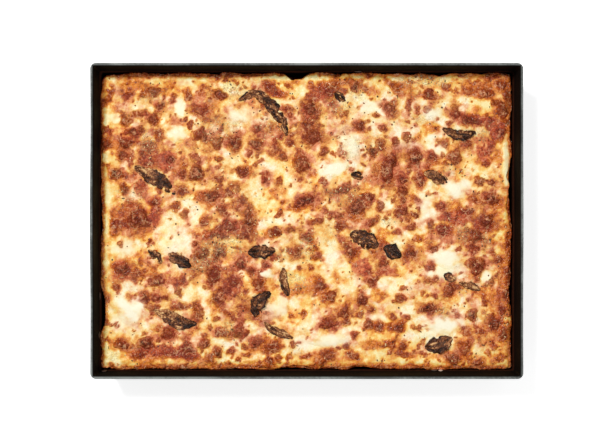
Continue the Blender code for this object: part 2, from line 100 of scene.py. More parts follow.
# Browned blisters that the solids have too: x, y, length, width, turn in degrees
BLISTERS = (
    (-144, 1, 22, 19, 20), (-94, 41, 14, 15, 0), (-5, 50, 15, 18, 10), (5, 72, 16, 16, 0),
    (3, 97, 12, 13, 0), (-75, 108, 14, 9, -20), (-90, 73, 12, 14, 20), (-77, 67, 12, 12, 0),
    (-43, 66, 13, 10, -10), (-62, 67, 11, 12, 0), (-91, 95, 16, 9, -15), (70, 45, 26, 12, 80),
    (93, 54, 17, 12, 100), (126, 55, 13, 14, 0), (126, 93, 13, 10, 110), (71, 96, 12, 10, -40),
    (43, 12, 18, 13, 30), (81, 8, 13, 10, 15), (81, 25, 11, 11, 0), (157, 19, 14, 11, -40),
    (153, 0, 15, 12, 30), (144, -13, 11, 11, 0), (144, -38, 17, 15, -20), (141, -80, 12, 10, 90),
    (160, -87, 11, 11, 0), (134, -108, 13, 11, 60), (124, -117, 13, 10, -15), (104, -75, 15, 9, -5),
    (80, -66, 10, 9, 0), (122, -58, 14, 11, 50), (88, -28, 15, 10, 15), (36, -25, 17, 9, -55),
    (19, -87, 17, 11, 20), (20, -64, 10, 9, 0), (47, -67, 13, 10, 100), (31, -78, 11, 9, 70),
    (-9, -27, 11, 9, 30), (-41, -53, 15, 10, 90), (-56, -37, 12, 11, 60), (-57, -95, 15, 14, 0),
    (-29, -108, 15, 9, 8), (-43, -104, 13, 9, 20), (-75, -65, 17, 12, 70), (-80, -46, 16, 12, 80),
    (-90, -27, 11, 11, 0), (-128, -52, 15, 9, 0), (-157, -41, 14, 12, 10), (-119, -96, 13, 12, 0),
    (-158, -105, 15, 9, -10), (-138, -104, 15, 10, 10), (-102, -108, 11, 10, 0),
    (-93, -77, 17, 9, 100), (-50, 2, 27, 9, 92), (-2, 17, 20, 10, 20), (-27, -10, 10, 9, 0),
    (-55, 42, 11, 10, -20), (-162, 40, 12, 11, 0), (-171, 65, 11, 9, 0), (-155, 66, 13, 9, 10),
    (-130, 110, 11, 10, 0), (-131, 87, 10, 11, 0), (167, 95, 15, 10, 100), (22, 113, 14, 12, 60),
    (-82, 21, 18, 10, 15),
)
# How high a blister is for its width, and the ones that a seeded draw adds
BLISTER_RISE = 0.21
BLISTER_LEAST_RISE = 0.9
SMALLEST_BLISTER = 8.0
EXTRA_BLISTERS = 26
BLISTER_SEED = 41

# Smaller browned spots seen in the photograph: x, y, length, width, turn in degrees
SPOTS = (
    (-169, 105, 12, 5, 60), (-153, 106, 8, 6, 30), (-123, 100, 5, 5, 0), (-114, 102, 5, 3, 0),
    (-143, 91, 18, 4, 5), (-156, 87, 5, 8, 0), (-170, 77, 7, 7, 0), (-154, 76, 5, 7, 0),
    (-141, 78, 6, 6, 0), (-127, 75, 8, 8, 0), (-157, 56, 9, 9, 0), (-150, 51, 4, 9, 0),
    (-156, 27, 6, 12, 0), (-101, 107, 7, 9, 0), (-130, 16, 9, 7, 20), (-112, 13, 6, 5, 0),
    (-106, 26, 9, 8, 0), (-75, 35, 8, 6, 0), (-67, 24, 7, 9, 0), (-72, 9, 10, 10, 0),
    (-66, -5, 12, 9, 0), (-76, -12, 18, 6, -8), (-55, 18, 12, 7, 0), (-54, -13, 11, 7, 0),
    (-42, 78, 8, 7, 0), (-27, 61, 9, 9, 0), (-14, 67, 7, 5, 0), (-23, 34, 8, 6, 60),
    (-37, 35, 5, 6, 0), (-37, 40, 9, 4, 0), (-30, 112, 16, 6, -35), (-18, 96, 8, 5, 0),
    (-15, 91, 6, 5, 0), (1, 82, 11, 7, 0), (14, 34, 9, 5, -60), (29, 61, 4, 4, 0),
    (22, 58, 4, 3, 0), (46, 81, 9, 9, 0), (30, 26, 16, 6, 20), (52, 20, 12, 10, 0),
    (34, 92, 5, 5, 0), (37, 118, 18, 5, 0), (75, 114, 15, 6, -45), (87, 98, 5, 11, 0),
    (103, 94, 8, 6, 0), (141, 85, 20, 7, -10), (137, 67, 8, 8, 0), (107, 54, 9, 9, 0),
    (166, 75, 9, 11, 0), (63, 65, 9, 12, 0), (65, 79, 9, 5, -15), (82, 35, 8, 9, 0),
    (97, 35, 8, 12, 0), (104, 24, 5, 4, 0), (148, 35, 13, 6, -15), (158, 33, 8, 6, 0),
    (142, 19, 9, 5, -50), (114, 13, 9, 7, 0), (94, 18, 8, 5, -20), (82, 17, 6, 7, 0),
    (92, 5, 9, 6, -30), (89, -5, 8, 6, 0), (78, -10, 7, 4, 0), (106, -4, 7, 9, 0),
    (116, -8, 11, 9, 0), (137, 8, 13, 5, 10), (141, -23, 12, 5, -10), (108, -24, 9, 7, 20),
    (106, -39, 7, 8, 0), (103, -50, 8, 4, 0), (111, -48, 4, 4, 0), (65, -35, 9, 10, 0),
    (82, -57, 6, 5, 0), (62, -89, 7, 9, 0), (78, -91, 11, 9, 0), (73, -82, 6, 7, 0),
    (96, -91, 5, 6, 0), (104, -93, 5, 3, 0), (87, -83, 5, 5, -40), (71, -105, 10, 5, -25),
    (82, -107, 6, 8, 0), (82, -114, 12, 5, -20), (147, -94, 10, 5, 15), (135, -93, 7, 9, 0),
    (167, -78, 5, 9, 0), (168, -97, 6, 8, 0), (45, -80, 6, 6, 0), (33, -86, 9, 6, 0),
    (12, -55, 10, 8, 0), (0, -14, 12, 6, -40), (9, -30, 8, 8, 0), (7, 0, 14, 5, 15),
    (-24, 6, 5, 9, -30), (-14, -7, 9, 6, 0), (28, -6, 7, 5, 0), (28, 5, 8, 6, 0), (16, 8, 4, 5, 0),
    (-7, -40, 5, 5, 0), (-27, -31, 8, 7, 0), (-35, -38, 6, 6, 0), (-48, -43, 9, 7, 0),
    (-62, -52, 9, 9, 0), (-68, -60, 8, 7, 0), (-111, -58, 6, 16, 15), (-110, -73, 14, 6, 5),
    (-146, -46, 9, 8, 0), (-138, -66, 8, 11, 0), (-126, -66, 16, 6, 0), (-131, -75, 11, 8, 0),
    (-96, -19, 7, 5, 0), (-76, -27, 8, 11, -30), (-87, -105, 12, 9, 10), (-73, -95, 11, 9, -10),
    (-83, -91, 4, 4, 0), (-77, -83, 5, 5, 0), (-82, -117, 7, 7, 0), (-144, -113, 10, 6, 10),
    (-113, -113, 16, 5, 0), (-170, -67, 6, 7, 0), (-171, -86, 5, 8, 0), (-159, -19, 5, 6, 0),
    (-164, -5, 6, 9, 0), (-163, -56, 8, 6, -40), (-12, -106, 5, 6, 0), (-25, -116, 8, 6, 0),
    (0, -115, 8, 4, 15), (-32, -119, 6, 7, 0), (17, -114, 12, 8, 0), (33, -107, 6, 7, 0),
    (27, -109, 5, 4, 0), (39, -115, 12, 5, -20), (41, -97, 5, 5, 0), (13, -120, 8, 5, 0),
    (-65, -111, 7, 5, 0), (-51, -114, 9, 4, 0), (-14, -81, 5, 4, 0), (153, 49, 5, 5, 0),
    (151, 109, 12, 9, 0), (166, 115, 7, 8, 0), (119, 115, 8, 6, 0), (105, 106, 12, 6, 0),
    (157, 122, 14, 5, 0), (138, 111, 9, 6, 0), (171, -18, 4, 8, 10), (171, -44, 5, 9, 0),
    (169, -62, 6, 8, 0), (173, 10, 4, 12, 0), (171, 108, 5, 9, 0), (163, -33, 7, 6, 0),
    (170, 84, 6, 8, 0), (160, 101, 8, 7, 0), (146, -121, 10, 5, 0),
)
# Still smaller ones that a seeded draw adds, and their lengths
SMALL_BLISTERS = 1250
SMALL_SEED = 73
SMALL_LENGTH = 1.4
SMALL_SPREAD = 4.0

# Patches of the top: x, y, length, width, turn, browning, red sauce, oil
PATCHES = (
    (-119, 52, 17, 16, 0, 0.30, 0.9, 0.3), (-136, 57, 18, 22, 0, 0.50, 0.6, 0.2),
    (-158, 74, 30, 14, 0, 0.16, 0.6, 0.5), (-151, 4, 32, 26, 0, 0.30, 0.5, 0.6),
    (-130, 3, 14, 20, 0, 0.30, 0.8, 0.3), (-131, 17, 16, 10, 0, 0.30, 0.7, 0.2),
    (127, 3, 34, 13, 0, 0.36, 0.9, 0.3), (116, -8, 16, 12, 0, 0.50, 0.9, 0.3),
    (149, -3, 20, 14, 0, 0.40, 0.7, 0.2), (152, 62, 16, 26, 0, 0.26, 0.8, 0.5),
    (161, 78, 18, 20, 0, 0.36, 0.8, 0.3), (147, 86, 34, 10, -5, 0.34, 0.7, 0.3),
    (47, -40, 15, 17, 0, 0.26, 0.9, 0.2), (66, -44, 30, 8, 0, 0.30, 0.6, 0.3),
    (-66, -5, 22, 12, 0, 0.42, 0.6, 0.1), (-62, -55, 20, 18, 0, 0.36, 0.7, 0.1),
    (-123, -111, 56, 12, 0, 0.34, 0.8, 0.3), (-99, -113, 18, 14, 0, 0.44, 0.7, 0.2),
    (-28, 111, 20, 10, -30, 0.38, 0.7, 0.2), (12, 110, 24, 16, 0, 0.46, 0.7, 0.1),
    (66, -13, 20, 13, 0, 0.24, 0.1, 1.0), (-4, 10, 24, 6, 0, 0.30, 0.1, 1.0),
    (-160, -42, 22, 20, 0, 0.18, 0.6, 0.5), (-50, -2, 14, 30, 0, 0.18, 0.4, 0.0),
    (-82, -46, 20, 26, 0, 0.18, 0.5, 0.0), (-146, 113, 40, 14, 0, 0.26, 0.3, 0.8),
    (153, 115, 42, 20, 0, 0.22, 0.4, 0.8), (168, -60, 10, 96, 0, 0.30, 0.4, 0.6),
    (156, -96, 28, 26, 0, 0.16, 0.5, 0.6), (151, -62, 26, 12, 0, 0.14, 0.4, 0.7),
    (141, -15, 26, 20, 0, 0.34, 0.5, 0.0), (76, -97, 22, 18, 0, 0.10, 0.1, 0.5),
    (22, -115, 56, 10, 0, 0.22, 0.2, 0.3), (32, 20, 30, 18, 0, 0.28, 0.2, 0.2),
    (105, 107, 26, 8, 0, 0.30, 0.4, 0.3), (-141, -42, 30, 14, 0, 0.22, 0.2, 0.7),
    (-113, -48, 20, 16, 0, 0.30, 0.5, 0.4), (42, 4, 16, 10, 0, 0.30, 0.3, 0.7),
    (-33, -11, 22, 9, 0, 0.24, 0.2, 0.8), (68, 46, 26, 34, 0, 0.20, 0.3, 0.2),
    (-89, 93, 26, 16, 0, 0.20, 0.5, 0.0), (-83, 70, 34, 24, 0, 0.16, 0.3, 0.0),
    (3, 85, 20, 40, 0, 0.20, 0.4, 0.0), (30, -70, 36, 16, 0, 0.04, 0.1, 0.6),
    (-171, -10, 10, 150, 0, 0.10, 0.1, 0.3), (-101, 125, 150, 7, 0, 0.30, 0.3, 0.2),
    (60, -124, 200, 5, 0, 0.26, 0.3, 0.2), (-91, -124, 120, 4, 0, 0.24, 0.3, 0.2),
    (-116, 114, 28, 15, 0, 0.32, 0.3, 0.9), (-146, 33, 24, 14, -40, 0.34, 0.5, 0.4),
    (-90, -10, 18, 12, 0, 0.30, 0.4, 0.6), (-97, -40, 14, 14, 0, 0.26, 0.3, 0.2),
    (-5, -50, 34, 24, 0, 0.24, 0.2, 0.9), (0, -73, 14, 20, 0, 0.14, 0.1, 0.9),
    (-55, -79, 24, 14, 0, 0.28, 0.3, 0.2), (-100, -94, 14, 14, 0, 0.26, 0.4, 0.2),
    (60, -64, 12, 12, 0, 0.26, 0.2, 0.8), (55, 33, 18, 16, 0, 0.26, 0.2, 0.4),
    (86, 110, 18, 12, -45, 0.28, 0.2, 0.6), (103, 78, 24, 12, 30, 0.28, 0.2, 0.8),
    (89, 56, 16, 14, 0, 0.18, 0.2, 0.0), (20, 97, 24, 14, 0, 0.24, 0.4, 0.2),
    (60, -26, 16, 12, 0, 0.20, 0.2, 0.5), (-24, 22, 18, 14, 0, 0.20, 0.2, 0.6),
    (7, 36, 10, 14, 0, 0.22, 0.3, 0.8), (-95, -118, 16, 10, 0, 0.30, 0.3, 0.5),
    (162, -73, 14, 12, 0, 0.28, 0.3, 0.6), (-125, -61, 20, 10, 0, 0.22, 0.4, 0.2),
    (-137, -14, 14, 12, 0, 0.16, 0.2, 0.8), (-22, 76, 12, 10, 0, 0.20, 0.2, 0.2),
    (-106, 50, 12, 10, 0, 0.22, 0.4, 0.2), (-154, -116, 20, 12, 0, 0.12, 0.2, 0.9),
    (160, -12, 12, 18, 0, 0.20, 0.3, 0.9), (-90, 112, 12, 12, 0, 0.20, 0.3, 0.6),
    (51, 113, 14, 10, 0, 0.20, 0.2, 0.4), (20, 28, 26, 14, 0, 0.20, 0.2, 0.3),
    (10, 8, 14, 10, 0, 0.22, 0.2, 0.3), (-72, -20, 18, 12, 0, 0.18, 0.3, 0.0),
    (30, -48, 16, 12, 0, 0.18, 0.2, 0.5), (-112, -64, 14, 10, 0, 0.24, 0.3, 0.2),
    (-144, -70, 12, 10, 0, 0.20, 0.3, 0.2), (-38, -84, 14, 14, 0, 0.22, 0.3, 0.2),
    (55, -106, 18, 10, 0, 0.24, 0.2, 0.5), (161, -117, 14, 8, 0, 0.30, 0.3, 0.8),
    (-148, -12, 12, 10, 0, 0.20, 0.3, 0.6), (166, -4, 10, 12, 0, 0.24, 0.4, 0.6),
    (-22, 110, 24, 16, 0, 0.04, 0.2, 0.9), (-170, 110, 16, 24, 0, 0.10, 0.3, 0.9),
    (-168, -36, 14, 22, 0, 0.04, 0.3, 0.9), (75, -107, 50, 14, 0, 0.00, 0.1, 0.8),
    (-140, -113, 40, 10, 0, 0.00, 0.5, 0.8), (-140, 26, 16, 13, 0, 0.34, 0.5, 0.4),
    (-98, 66, 9, 12, 0, 0.24, 0.4, 0.2), (-66, 44, 12, 9, 0, 0.24, 0.3, 0.2),
    (-20, 75, 9, 9, 0, 0.20, 0.3, 0.2), (35, 76, 12, 8, 0, 0.18, 0.2, 0.3),
    (97, 56, 10, 9, 0, 0.22, 0.2, 0.2), (61, 22, 9, 12, 0, 0.22, 0.3, 0.4),
    (-64, 14, 10, 10, 0, 0.20, 0.3, 0.2), (-141, -30, 14, 10, 0, 0.20, 0.2, 0.5),
    (-86, -14, 14, 14, 0, 0.22, 0.4, 0.2), (-140, -70, 10, 9, 0, 0.24, 0.3, 0.2),
    (-58, -68, 20, 12, 0, 0.20, 0.3, 0.1), (14, -70, 18, 12, 0, 0.20, 0.2, 0.7),
    (-16, -93, 10, 9, 0, 0.24, 0.3, 0.4), (62, -66, 9, 9, 0, 0.22, 0.2, 0.5),
    (155, -22, 12, 14, 0, 0.22, 0.3, 0.5), (152, 98, 30, 26, 0, 0.00, 0.4, 1.0),
    (-160, 82, 22, 20, 0, 0.00, 0.4, 0.9), (-162, 25, 18, 40, 0, 0.00, 0.4, 0.8),
    (-14, 119, 18, 9, 0, 0.24, 0.2, 0.5), (-90, 107, 12, 9, 0, 0.24, 0.4, 0.4),
    (-75, 86, 12, 10, 0, 0.20, 0.3, 0.1), (57, 110, 16, 9, 0, 0.24, 0.2, 0.5),
    (106, 97, 9, 9, 0, 0.22, 0.2, 0.3), (92, 52, 18, 10, 30, 0.26, 0.2, 0.1),
    (-131, -36, 12, 9, 0, 0.22, 0.2, 0.3), (-93, -34, 16, 12, 0, 0.26, 0.3, 0.3),
    (-96, -9, 12, 10, 0, 0.18, 0.3, 0.3), (-66, -46, 16, 9, 0, 0.22, 0.4, 0.1),
    (-38, -31, 12, 9, 0, 0.22, 0.3, 0.2), (56, -31, 10, 9, 0, 0.22, 0.3, 0.4),
    (107, -14, 18, 12, 20, 0.26, 0.5, 0.3), (-14, -61, 16, 10, 0, 0.26, 0.2, 0.8),
    (12, -60, 16, 12, 0, 0.22, 0.2, 0.8), (24, -50, 12, 9, 0, 0.20, 0.2, 0.6),
    (124, -67, 12, 8, 0, 0.22, 0.2, 0.4), (160, -69, 10, 10, 0, 0.26, 0.3, 0.6),
    (-50, -76, 16, 12, 0, 0.22, 0.3, 0.1), (-97, -86, 12, 10, 0, 0.24, 0.4, 0.2),
    (-95, -116, 12, 8, 0, 0.24, 0.3, 0.4), (-33, 14, 24, 26, 0, 0.00, 0.1, 0.9),
    (-18, 112, 34, 14, 0, 0.00, 0.2, 1.0), (70, -95, 40, 30, 0, 0.00, 0.1, 0.9),
    (170, 24, 9, 10, 0, 0.30, 0.3, 0.5), (-30, 81, 14, 9, 0, 0.24, 0.2, 0.2),
    (97, 64, 12, 14, 30, 0.28, 0.2, 0.2), (-111, 46, 10, 8, 0, 0.24, 0.4, 0.2),
    (-126, 64, 8, 9, 0, 0.20, 0.4, 0.2), (-68, -42, 20, 8, 0, 0.24, 0.4, 0.1),
    (120, -14, 12, 12, 0, 0.24, 0.4, 0.3), (30, -12, 16, 16, 0, 0.22, 0.2, 0.4),
    (-151, -52, 16, 10, 0, 0.24, 0.3, 0.4), (-104, -54, 10, 8, 0, 0.22, 0.3, 0.3),
    (-138, -9, 14, 10, 0, 0.22, 0.2, 0.6),
)

# Pale, soft stretches of cheese: x, y, length, width, turn, whiteness
PALE = (
    (-106, 118, 15, 10, 0, 0.6), (-108, 96, 9, 16, 0, 0.9), (-163, 88, 12, 9, 0, 0.8),
    (-123, 86, 5, 5, 0, 0.9), (67, 13, 12, 10, 0, 0.8), (153, -48, 9, 11, 0, 0.8),
    (45, 105, 16, 9, -20, 0.7), (104, 8, 14, 50, 10, 0.6), (91, 72, 44, 22, 0, 0.5),
    (-113, -8, 34, 40, 0, 0.5), (-106, -62, 24, 18, 0, 0.5), (-153, -22, 34, 18, 0, 0.6),
    (-91, 2, 22, 40, 0, 0.5), (20, -30, 26, 44, 0, 0.5), (-15, 3, 40, 14, 0, 0.4),
    (-45, 25, 26, 30, 0, 0.5), (-20, 45, 20, 40, 0, 0.3), (-65, 52, 20, 16, 0, 0.5),
    (-75, -106, 26, 16, 0, 0.5), (74, -53, 18, 12, 0, 0.6), (-166, 50, 6, 60, 0, 0.3),
    (171, 45, 7, 44, 3, 0.7), (166, -12, 8, 12, 0, 0.5), (-166, -116, 12, 12, 0, 0.5),
    (-70, 114, 24, 10, 0, 0.5), (146, 102, 34, 9, -8, 0.6), (-5, 122, 60, 5, 0, 0.4),
    (146, 43, 20, 16, 0, 0.5), (60, -60, 14, 20, 0, 0.3), (119, -68, 30, 10, 0, 0.4),
    (-10, -50, 24, 30, 0, 0.4), (-2, -70, 26, 16, 0, 0.3), (-5, -109, 30, 12, 0, 0.5),
    (-141, -93, 40, 12, 0, 0.5), (-153, -57, 14, 14, 0, 0.5), (96, -60, 16, 14, 0, 0.3),
    (-170, -60, 14, 110, 0, 0.6), (-172, 20, 12, 70, 0, 0.5), (-172, 95, 12, 40, 0, 0.4),
    (-150, 83, 15, 11, 0, 0.8), (-140, 100, 14, 10, 0, 0.5), (-56, 28, 14, 11, 0, 0.7),
    (-104, 9, 16, 18, 0, 0.8), (-157, -20, 14, 26, 0, 0.5), (-89, -56, 10, 26, 0, 0.5),
    (-119, -86, 26, 10, 0, 0.4), (-75, -110, 16, 10, 0, 0.5), (-155, -95, 16, 12, 0, 0.5),
    (60, -85, 24, 9, 0, 0.6), (26, -86, 14, 8, 0, 0.5), (140, -89, 22, 16, 0, 0.5),
    (116, -42, 24, 10, 0, 0.7), (158, -54, 12, 12, 0, 0.5), (55, 96, 20, 12, 0, 0.7),
    (85, 70, 18, 12, 0, 0.7), (145, 111, 20, 8, 0, 0.5), (115, 60, 12, 12, 0, 0.6),
    (-50, 9, 12, 10, 0, 0.4), (60, -114, 30, 9, 0, 0.5), (-25, 98, 15, 15, 0, 0.9),
    (-97, 54, 12, 8, 0, 0.6), (-135, 25, 14, 10, 0, 0.6), (-158, -34, 12, 12, 0, 0.5),
    (-88, -76, 12, 14, 0, 0.6), (-26, -112, 20, 9, 0, 0.5), (-6, -88, 10, 10, 0, 0.5),
    (86, -76, 16, 10, 0, 0.6), (84, -98, 14, 10, 0, 0.5), (90, 82, 16, 10, 0, 0.5),
    (62, 58, 12, 12, 0, 0.4), (170, 55, 8, 26, 0, 0.8), (-163, 60, 16, 12, 0, 0.5),
    (-162, 46, 14, 10, 0, 0.6), (-62, 81, 12, 9, 0, 0.5), (-111, -42, 12, 16, 0, 0.5),
    (-116, -88, 14, 9, 0, 0.5), (-75, -91, 12, 9, 0, 0.5), (-76, -118, 16, 7, 0, 0.5),
    (-163, -106, 12, 9, 0, 0.4), (36, 90, 16, 9, 0, 0.5), (87, 76, 14, 10, 0, 0.5),
    (52, -88, 14, 8, 0, 0.5), (-108, 34, 10, 10, 0, 0.4), (169, -83, 4, 14, 0, 0.9),
    (-171, 94, 8, 16, 0, 0.7), (-152, 75, 12, 9, 0, 0.6), (-172, 42, 7, 12, 0, 0.8),
    (125, 97, 26, 8, -15, 0.6), (60, 60, 10, 12, 0, 0.6), (155, 47, 14, 9, 0, 0.5),
    (34, -91, 18, 8, 0, 0.5), (95, -119, 12, 8, 0, 0.7), (-41, -114, 12, 9, 0, 0.6),
    (-74, -115, 10, 8, 0, 0.6), (134, -100, 9, 8, 0, 0.5), (90, -85, 12, 8, 0, 0.5),
    (-104, 8, 10, 12, 0, 1.0), (80, 72, 14, 12, 0, 0.9), (-41, -116, 14, 7, 0, 0.9),
    (-58, 28, 12, 9, 0, 1.0), (-95, 54, 10, 7, 0, 0.9), (-79, 50, 8, 8, 0, 0.7),
    (-36, 52, 10, 12, 0, 0.7), (-21, 53, 8, 10, 0, 0.7), (166, -106, 12, 10, 0, 0.5),
)

# Milky stretches, less yellow than the rest: x, y, length, width, turn, strength
MILKY = (
    (34, 66, 22, 26, 0, 0.5), (55, 97, 22, 12, 0, 0.5), (115, 60, 12, 14, 0, 0.5),
    (85, 66, 22, 12, 0, 0.3), (-110, -22, 20, 26, 0, 0.3), (-155, -22, 22, 16, 0, 0.5),
    (112, -44, 22, 12, 0, 0.6), (130, -40, 14, 10, 0, 0.4), (60, -83, 18, 8, 0, 0.4),
    (126, -79, 14, 12, 0, 0.3), (-32, -80, 14, 18, 0, 0.4), (-155, -86, 26, 16, 0, 0.5),
    (100, 12, 14, 30, 10, 0.4), (-108, 96, 9, 16, 0, 0.6), (-164, 88, 12, 9, 0, 0.3),
    (-6, -104, 22, 12, 0, 0.4), (153, -48, 9, 11, 0, 0.5), (171, 45, 6, 40, 3, 0.4),
    (67, 13, 12, 10, 0, 0.4), (-50, 92, 20, 14, 0, 0.3), (-106, 118, 15, 8, 0, 0.3),
)

# Speckle of herbs and grated hard cheese: x, y, length, width, turn, strength
SPECKLE = (
    (-72, -22, 38, 20, 5, 1.0), (-78, 78, 34, 26, 0, 0.6), (1, -23, 14, 26, 0, 0.9),
    (38, 60, 20, 30, 0, 0.8), (116, -82, 14, 18, 0, 0.8), (-136, 66, 12, 22, 0, 0.9),
    (71, 0, 18, 7, 0, 1.0), (133, -10, 14, 16, 0, 0.9), (153, -18, 8, 16, 0, 0.8),
    (99, 120, 40, 10, -3, 1.0), (-64, 112, 18, 14, 0, 0.8), (29, 98, 20, 16, 0, 0.9),
    (42, 109, 14, 12, 0, 0.6), (101, 87, 30, 10, 0, 0.7), (-68, 82, 26, 16, 0, 0.6),
    (149, 74, 14, 12, 0, 0.9), (-151, 22, 24, 12, 0, 0.6), (30, 22, 26, 14, 0, 0.7),
    (-131, 106, 16, 12, 0, 0.6), (-67, -91, 10, 12, 0, 0.8), (-171, -60, 10, 70, 0, 0.4),
    (55, 64, 14, 24, 0, 0.4), (-30, 82, 26, 20, 0, 0.6), (-166, -116, 12, 12, 0, 0.6),
    (20, -14, 14, 18, 0, 0.5), (-99, 40, 80, 60, 0, 0.15), (60, 91, 120, 50, 0, 0.15),
    (-60, 5, 60, 60, 0, 0.2), (-90, -35, 26, 16, 20, 0.9), (-20, -28, 16, 14, 0, 0.7),
    (-10, -53, 24, 16, 0, 0.8), (124, 43, 22, 12, 0, 0.6), (-108, 64, 14, 16, 0, 0.4),
    (-76, 48, 12, 16, 0, 0.4),
)

# Soft pools of fresh cheese: x, y, length, width, turn in degrees
FRESH_CHEESE = (
    (24, 44, 22, 13, 15), (39, 63, 21, 12, 95), (126, 27, 25, 19, 0), (119, -32, 25, 17, -10),
    (116, -88, 33, 18, 0), (-151, -75, 31, 23, -20), (-111, 75, 19, 17, 0), (-59, 89, 22, 13, 0),
    (106, 92, 19, 12, 0), (-34, -45, 14, 9, 0), (-23, -74, 20, 15, 90), (20, -102, 36, 13, 0),
)
# How white each pool is, and how it rises, sinks in and spreads
POOL_WHITE = (0.9, 0.6, 0.9, 0.9, 1.0, 1.0, 0.7, 0.6, 0.7, 0.8, 0.6, 0.7)
POOL_RISE = 1.3
POOL_DEPTH = 0.9
POOL_SPREAD = 1.14

# Basil leaves: points along the midrib, width
BASIL = (
    (((-58, 103), (-46, 108), (-36, 104), (-28, 96), (-21, 85), (-17, 73)), 9.5),
    (((-147, 46), (-138, 41), (-126, 35), (-112, 23)), 11.0),
    (((116, 79), (125, 74), (134, 73), (144, 76)), 9.0),
    (((100, 41), (110, 38), (121, 33)), 9.5),
    (((37, -11), (48, -15), (61, -21)), 15.0),
    (((66, -22), (73, -26), (80, -31)), 13.0),
    (((-50, -27), (-38, -26), (-27, -25)), 11.5),
    (((-135, -25), (-129, -30), (-124, -36)), 7.5),
    (((-118, -28), (-109, -33), (-99, -39)), 11.5),
    (((-130, -76), (-119, -81), (-107, -87), (-94, -88)), 11.5),
    (((-20, -40), (-20, -50), (-16, -64)), 8.0),
    (((-31, -61), (-39, -67), (-43, -74), (-44, -82)), 11.5),
    (((-36, -86), (-31, -92), (-21, -96), (-12, -100)), 6.5),
    (((101, -108), (112, -106), (124, -100)), 13.5),
    (((38, 40), (48, 37)), 8.5),
    (((24, 109), (34, 102)), 9.0),
    (((117, -46), (127, -50)), 7.5),
    (((130, -53), (139, -55), (148, -59)), 7.0),
)
LEAF_THICKNESS = 0.35
LEAF_LIFT = 0.35
LEAF_SUNK = 2.8
WIDEST_LEAF = 0.66  # share of its length
BED_MARGIN = 5.5  # how far the smooth bed reaches round a leaf or a pool

# How light each leaf is at its start and at its end, and how far the cheese covers it
BASIL_LOOK = (
    (0.24, 0.17, 0.05), (0.28, 0.16, 0.22), (0.16, 0.12, 0.12), (0.32, 0.14, 0.18),
    (0.14, 0.11, 0.10), (-0.11, -0.11, 0.00), (0.02, 0.11, 0.10), (0.12, 0.24, 0.30),
    (0.43, -0.08, 0.15), (0.42, -0.06, 0.22), (0.34, 0.12, 0.20), (0.01, 0.12, 0.08),
    (0.34, 0.24, 0.35), (0.20, 0.20, 0.05), (0.10, 0.12, 0.20), (0.12, 0.16, 0.25),
    (0.12, 0.16, 0.10), (0.30, 0.42, 0.38),
)

# How finely the surfaces are made
TOP_CELL = 0.97
EDGE_CELL = 1.1
POOL_SIDES = 56
POOL_RINGS = 15
LEAF_STEP = 0.75
LEAF_COLUMNS = 16
CORNER_STEPS = 6
WALL_STEPS = 22
TONE_STEPS = 257

# How uneven the top is: width of a bump in millimetres, number of sizes, seed
NOISE = {
    "warp_x": (6.0, 3, 5), "warp_y": (6.0, 3, 15), "cloud": (19.0, 3, 23), "middling": (7.0, 3, 31),
    "fine": (2.8, 2, 41), "sauce": (10.0, 3, 43), "rosy": (7.0, 3, 45), "oil": (13.0, 3, 47),
    "speckle": (14.0, 3, 49), "patch_edge": (8.0, 3, 53), "side_tone": (6.0, 3, 61),
    "side_oil": (10.0, 2, 63), "lip": (5.0, 2, 65), "pool_edge": (6.0, 3, 67),
    "coarse": (5.2, 2, 71), "wrinkle": (3.0, 2, 79), "crag": (3.4, 2, 89), "crust": (3.6, 3, 101),
}

# Floor, lights and camera, in metres and watts, and the lens in millimetres
FLOOR_SIZE = 8.0
FLOOR_LEVEL = -0.0005
FLOOR_GLOW = 0.50
WORLD_LIGHT = 0.29
LAMPS = (
    ("window", (-0.72, 0.78, 2.1), (0.38, 0.38), 34.0, (1.0, 0.99, 0.97)),
    ("fill", (0.80, -0.70, 2.2), (0.9, 0.7), 15.0, (1.0, 1.0, 1.0)),
)
SENSOR_WIDTH = 36.0
LENS = 84.0
CAMERA_PLACE = (0.0002, 0.0008, 1.2572)


def smooth_step(value):
    """An S curve from 0 at 0 to 1 at 1."""
    part = np.clip(value, 0.0, 1.0)
    return part * part * (3.0 - 2.0 * part)


def lattice_noise(x, y, cell, seed):
    """Smooth noise from -1 to 1 with bumps about one cell wide, on a turned lattice."""
    size = 256
    draw = np.random.default_rng(seed)
    table = draw.uniform(-1.0, 1.0, (size, size))
    turn = draw.uniform(0.2, 1.3)
    across = (x * math.cos(turn) - y * math.sin(turn)) / cell + size * 8
    along = (x * math.sin(turn) + y * math.cos(turn)) / cell + size * 8
    column = np.floor(across).astype(int)
    row = np.floor(along).astype(int)
    right = smooth_step(across - column)
    up = smooth_step(along - row)
    corner = [
        table[(column + i) % size, (row + j) % size] for i in (0, 1) for j in (0, 1)
    ]
    near = corner[0] * (1 - up) + corner[1] * up
    far = corner[2] * (1 - up) + corner[3] * up
    return near * (1 - right) + far * right


def fractal(x, y, cell, octaves, seed):
    """Noise of several sizes added up, each half as wide and about half as strong."""
    total = 0.0
    strength = 1.0
    most = 0.0
    for octave in range(octaves):
        total = total + strength * lattice_noise(x, y, cell / 2 ** octave, seed + octave)
        most += strength
        strength *= 0.55
    return total / most


def uneven(x, y, name):
    """One of the named kinds of unevenness of the top."""
    return fractal(x, y, *NOISE[name])


def wall_half(level):
    """Half the length and width between the pan's walls at a level."""
    lean = (PAN_HEIGHT - level) * math.tan(WALL_TAPER)
    roll = 2.0 * ROLL_RADIUS
    return RIM_LENGTH / 2 - roll - lean, RIM_WIDTH / 2 - roll - lean


def notch_depth(side, along):
    """How far the food stands back from the wall at places along a side."""
    depth = 0.0 * along
    for where, middle, width, most in NOTCHES:
        if where == side:
            depth = depth + most * np.exp(-(((along - middle) / (0.55 * width)) ** 4))
    return depth


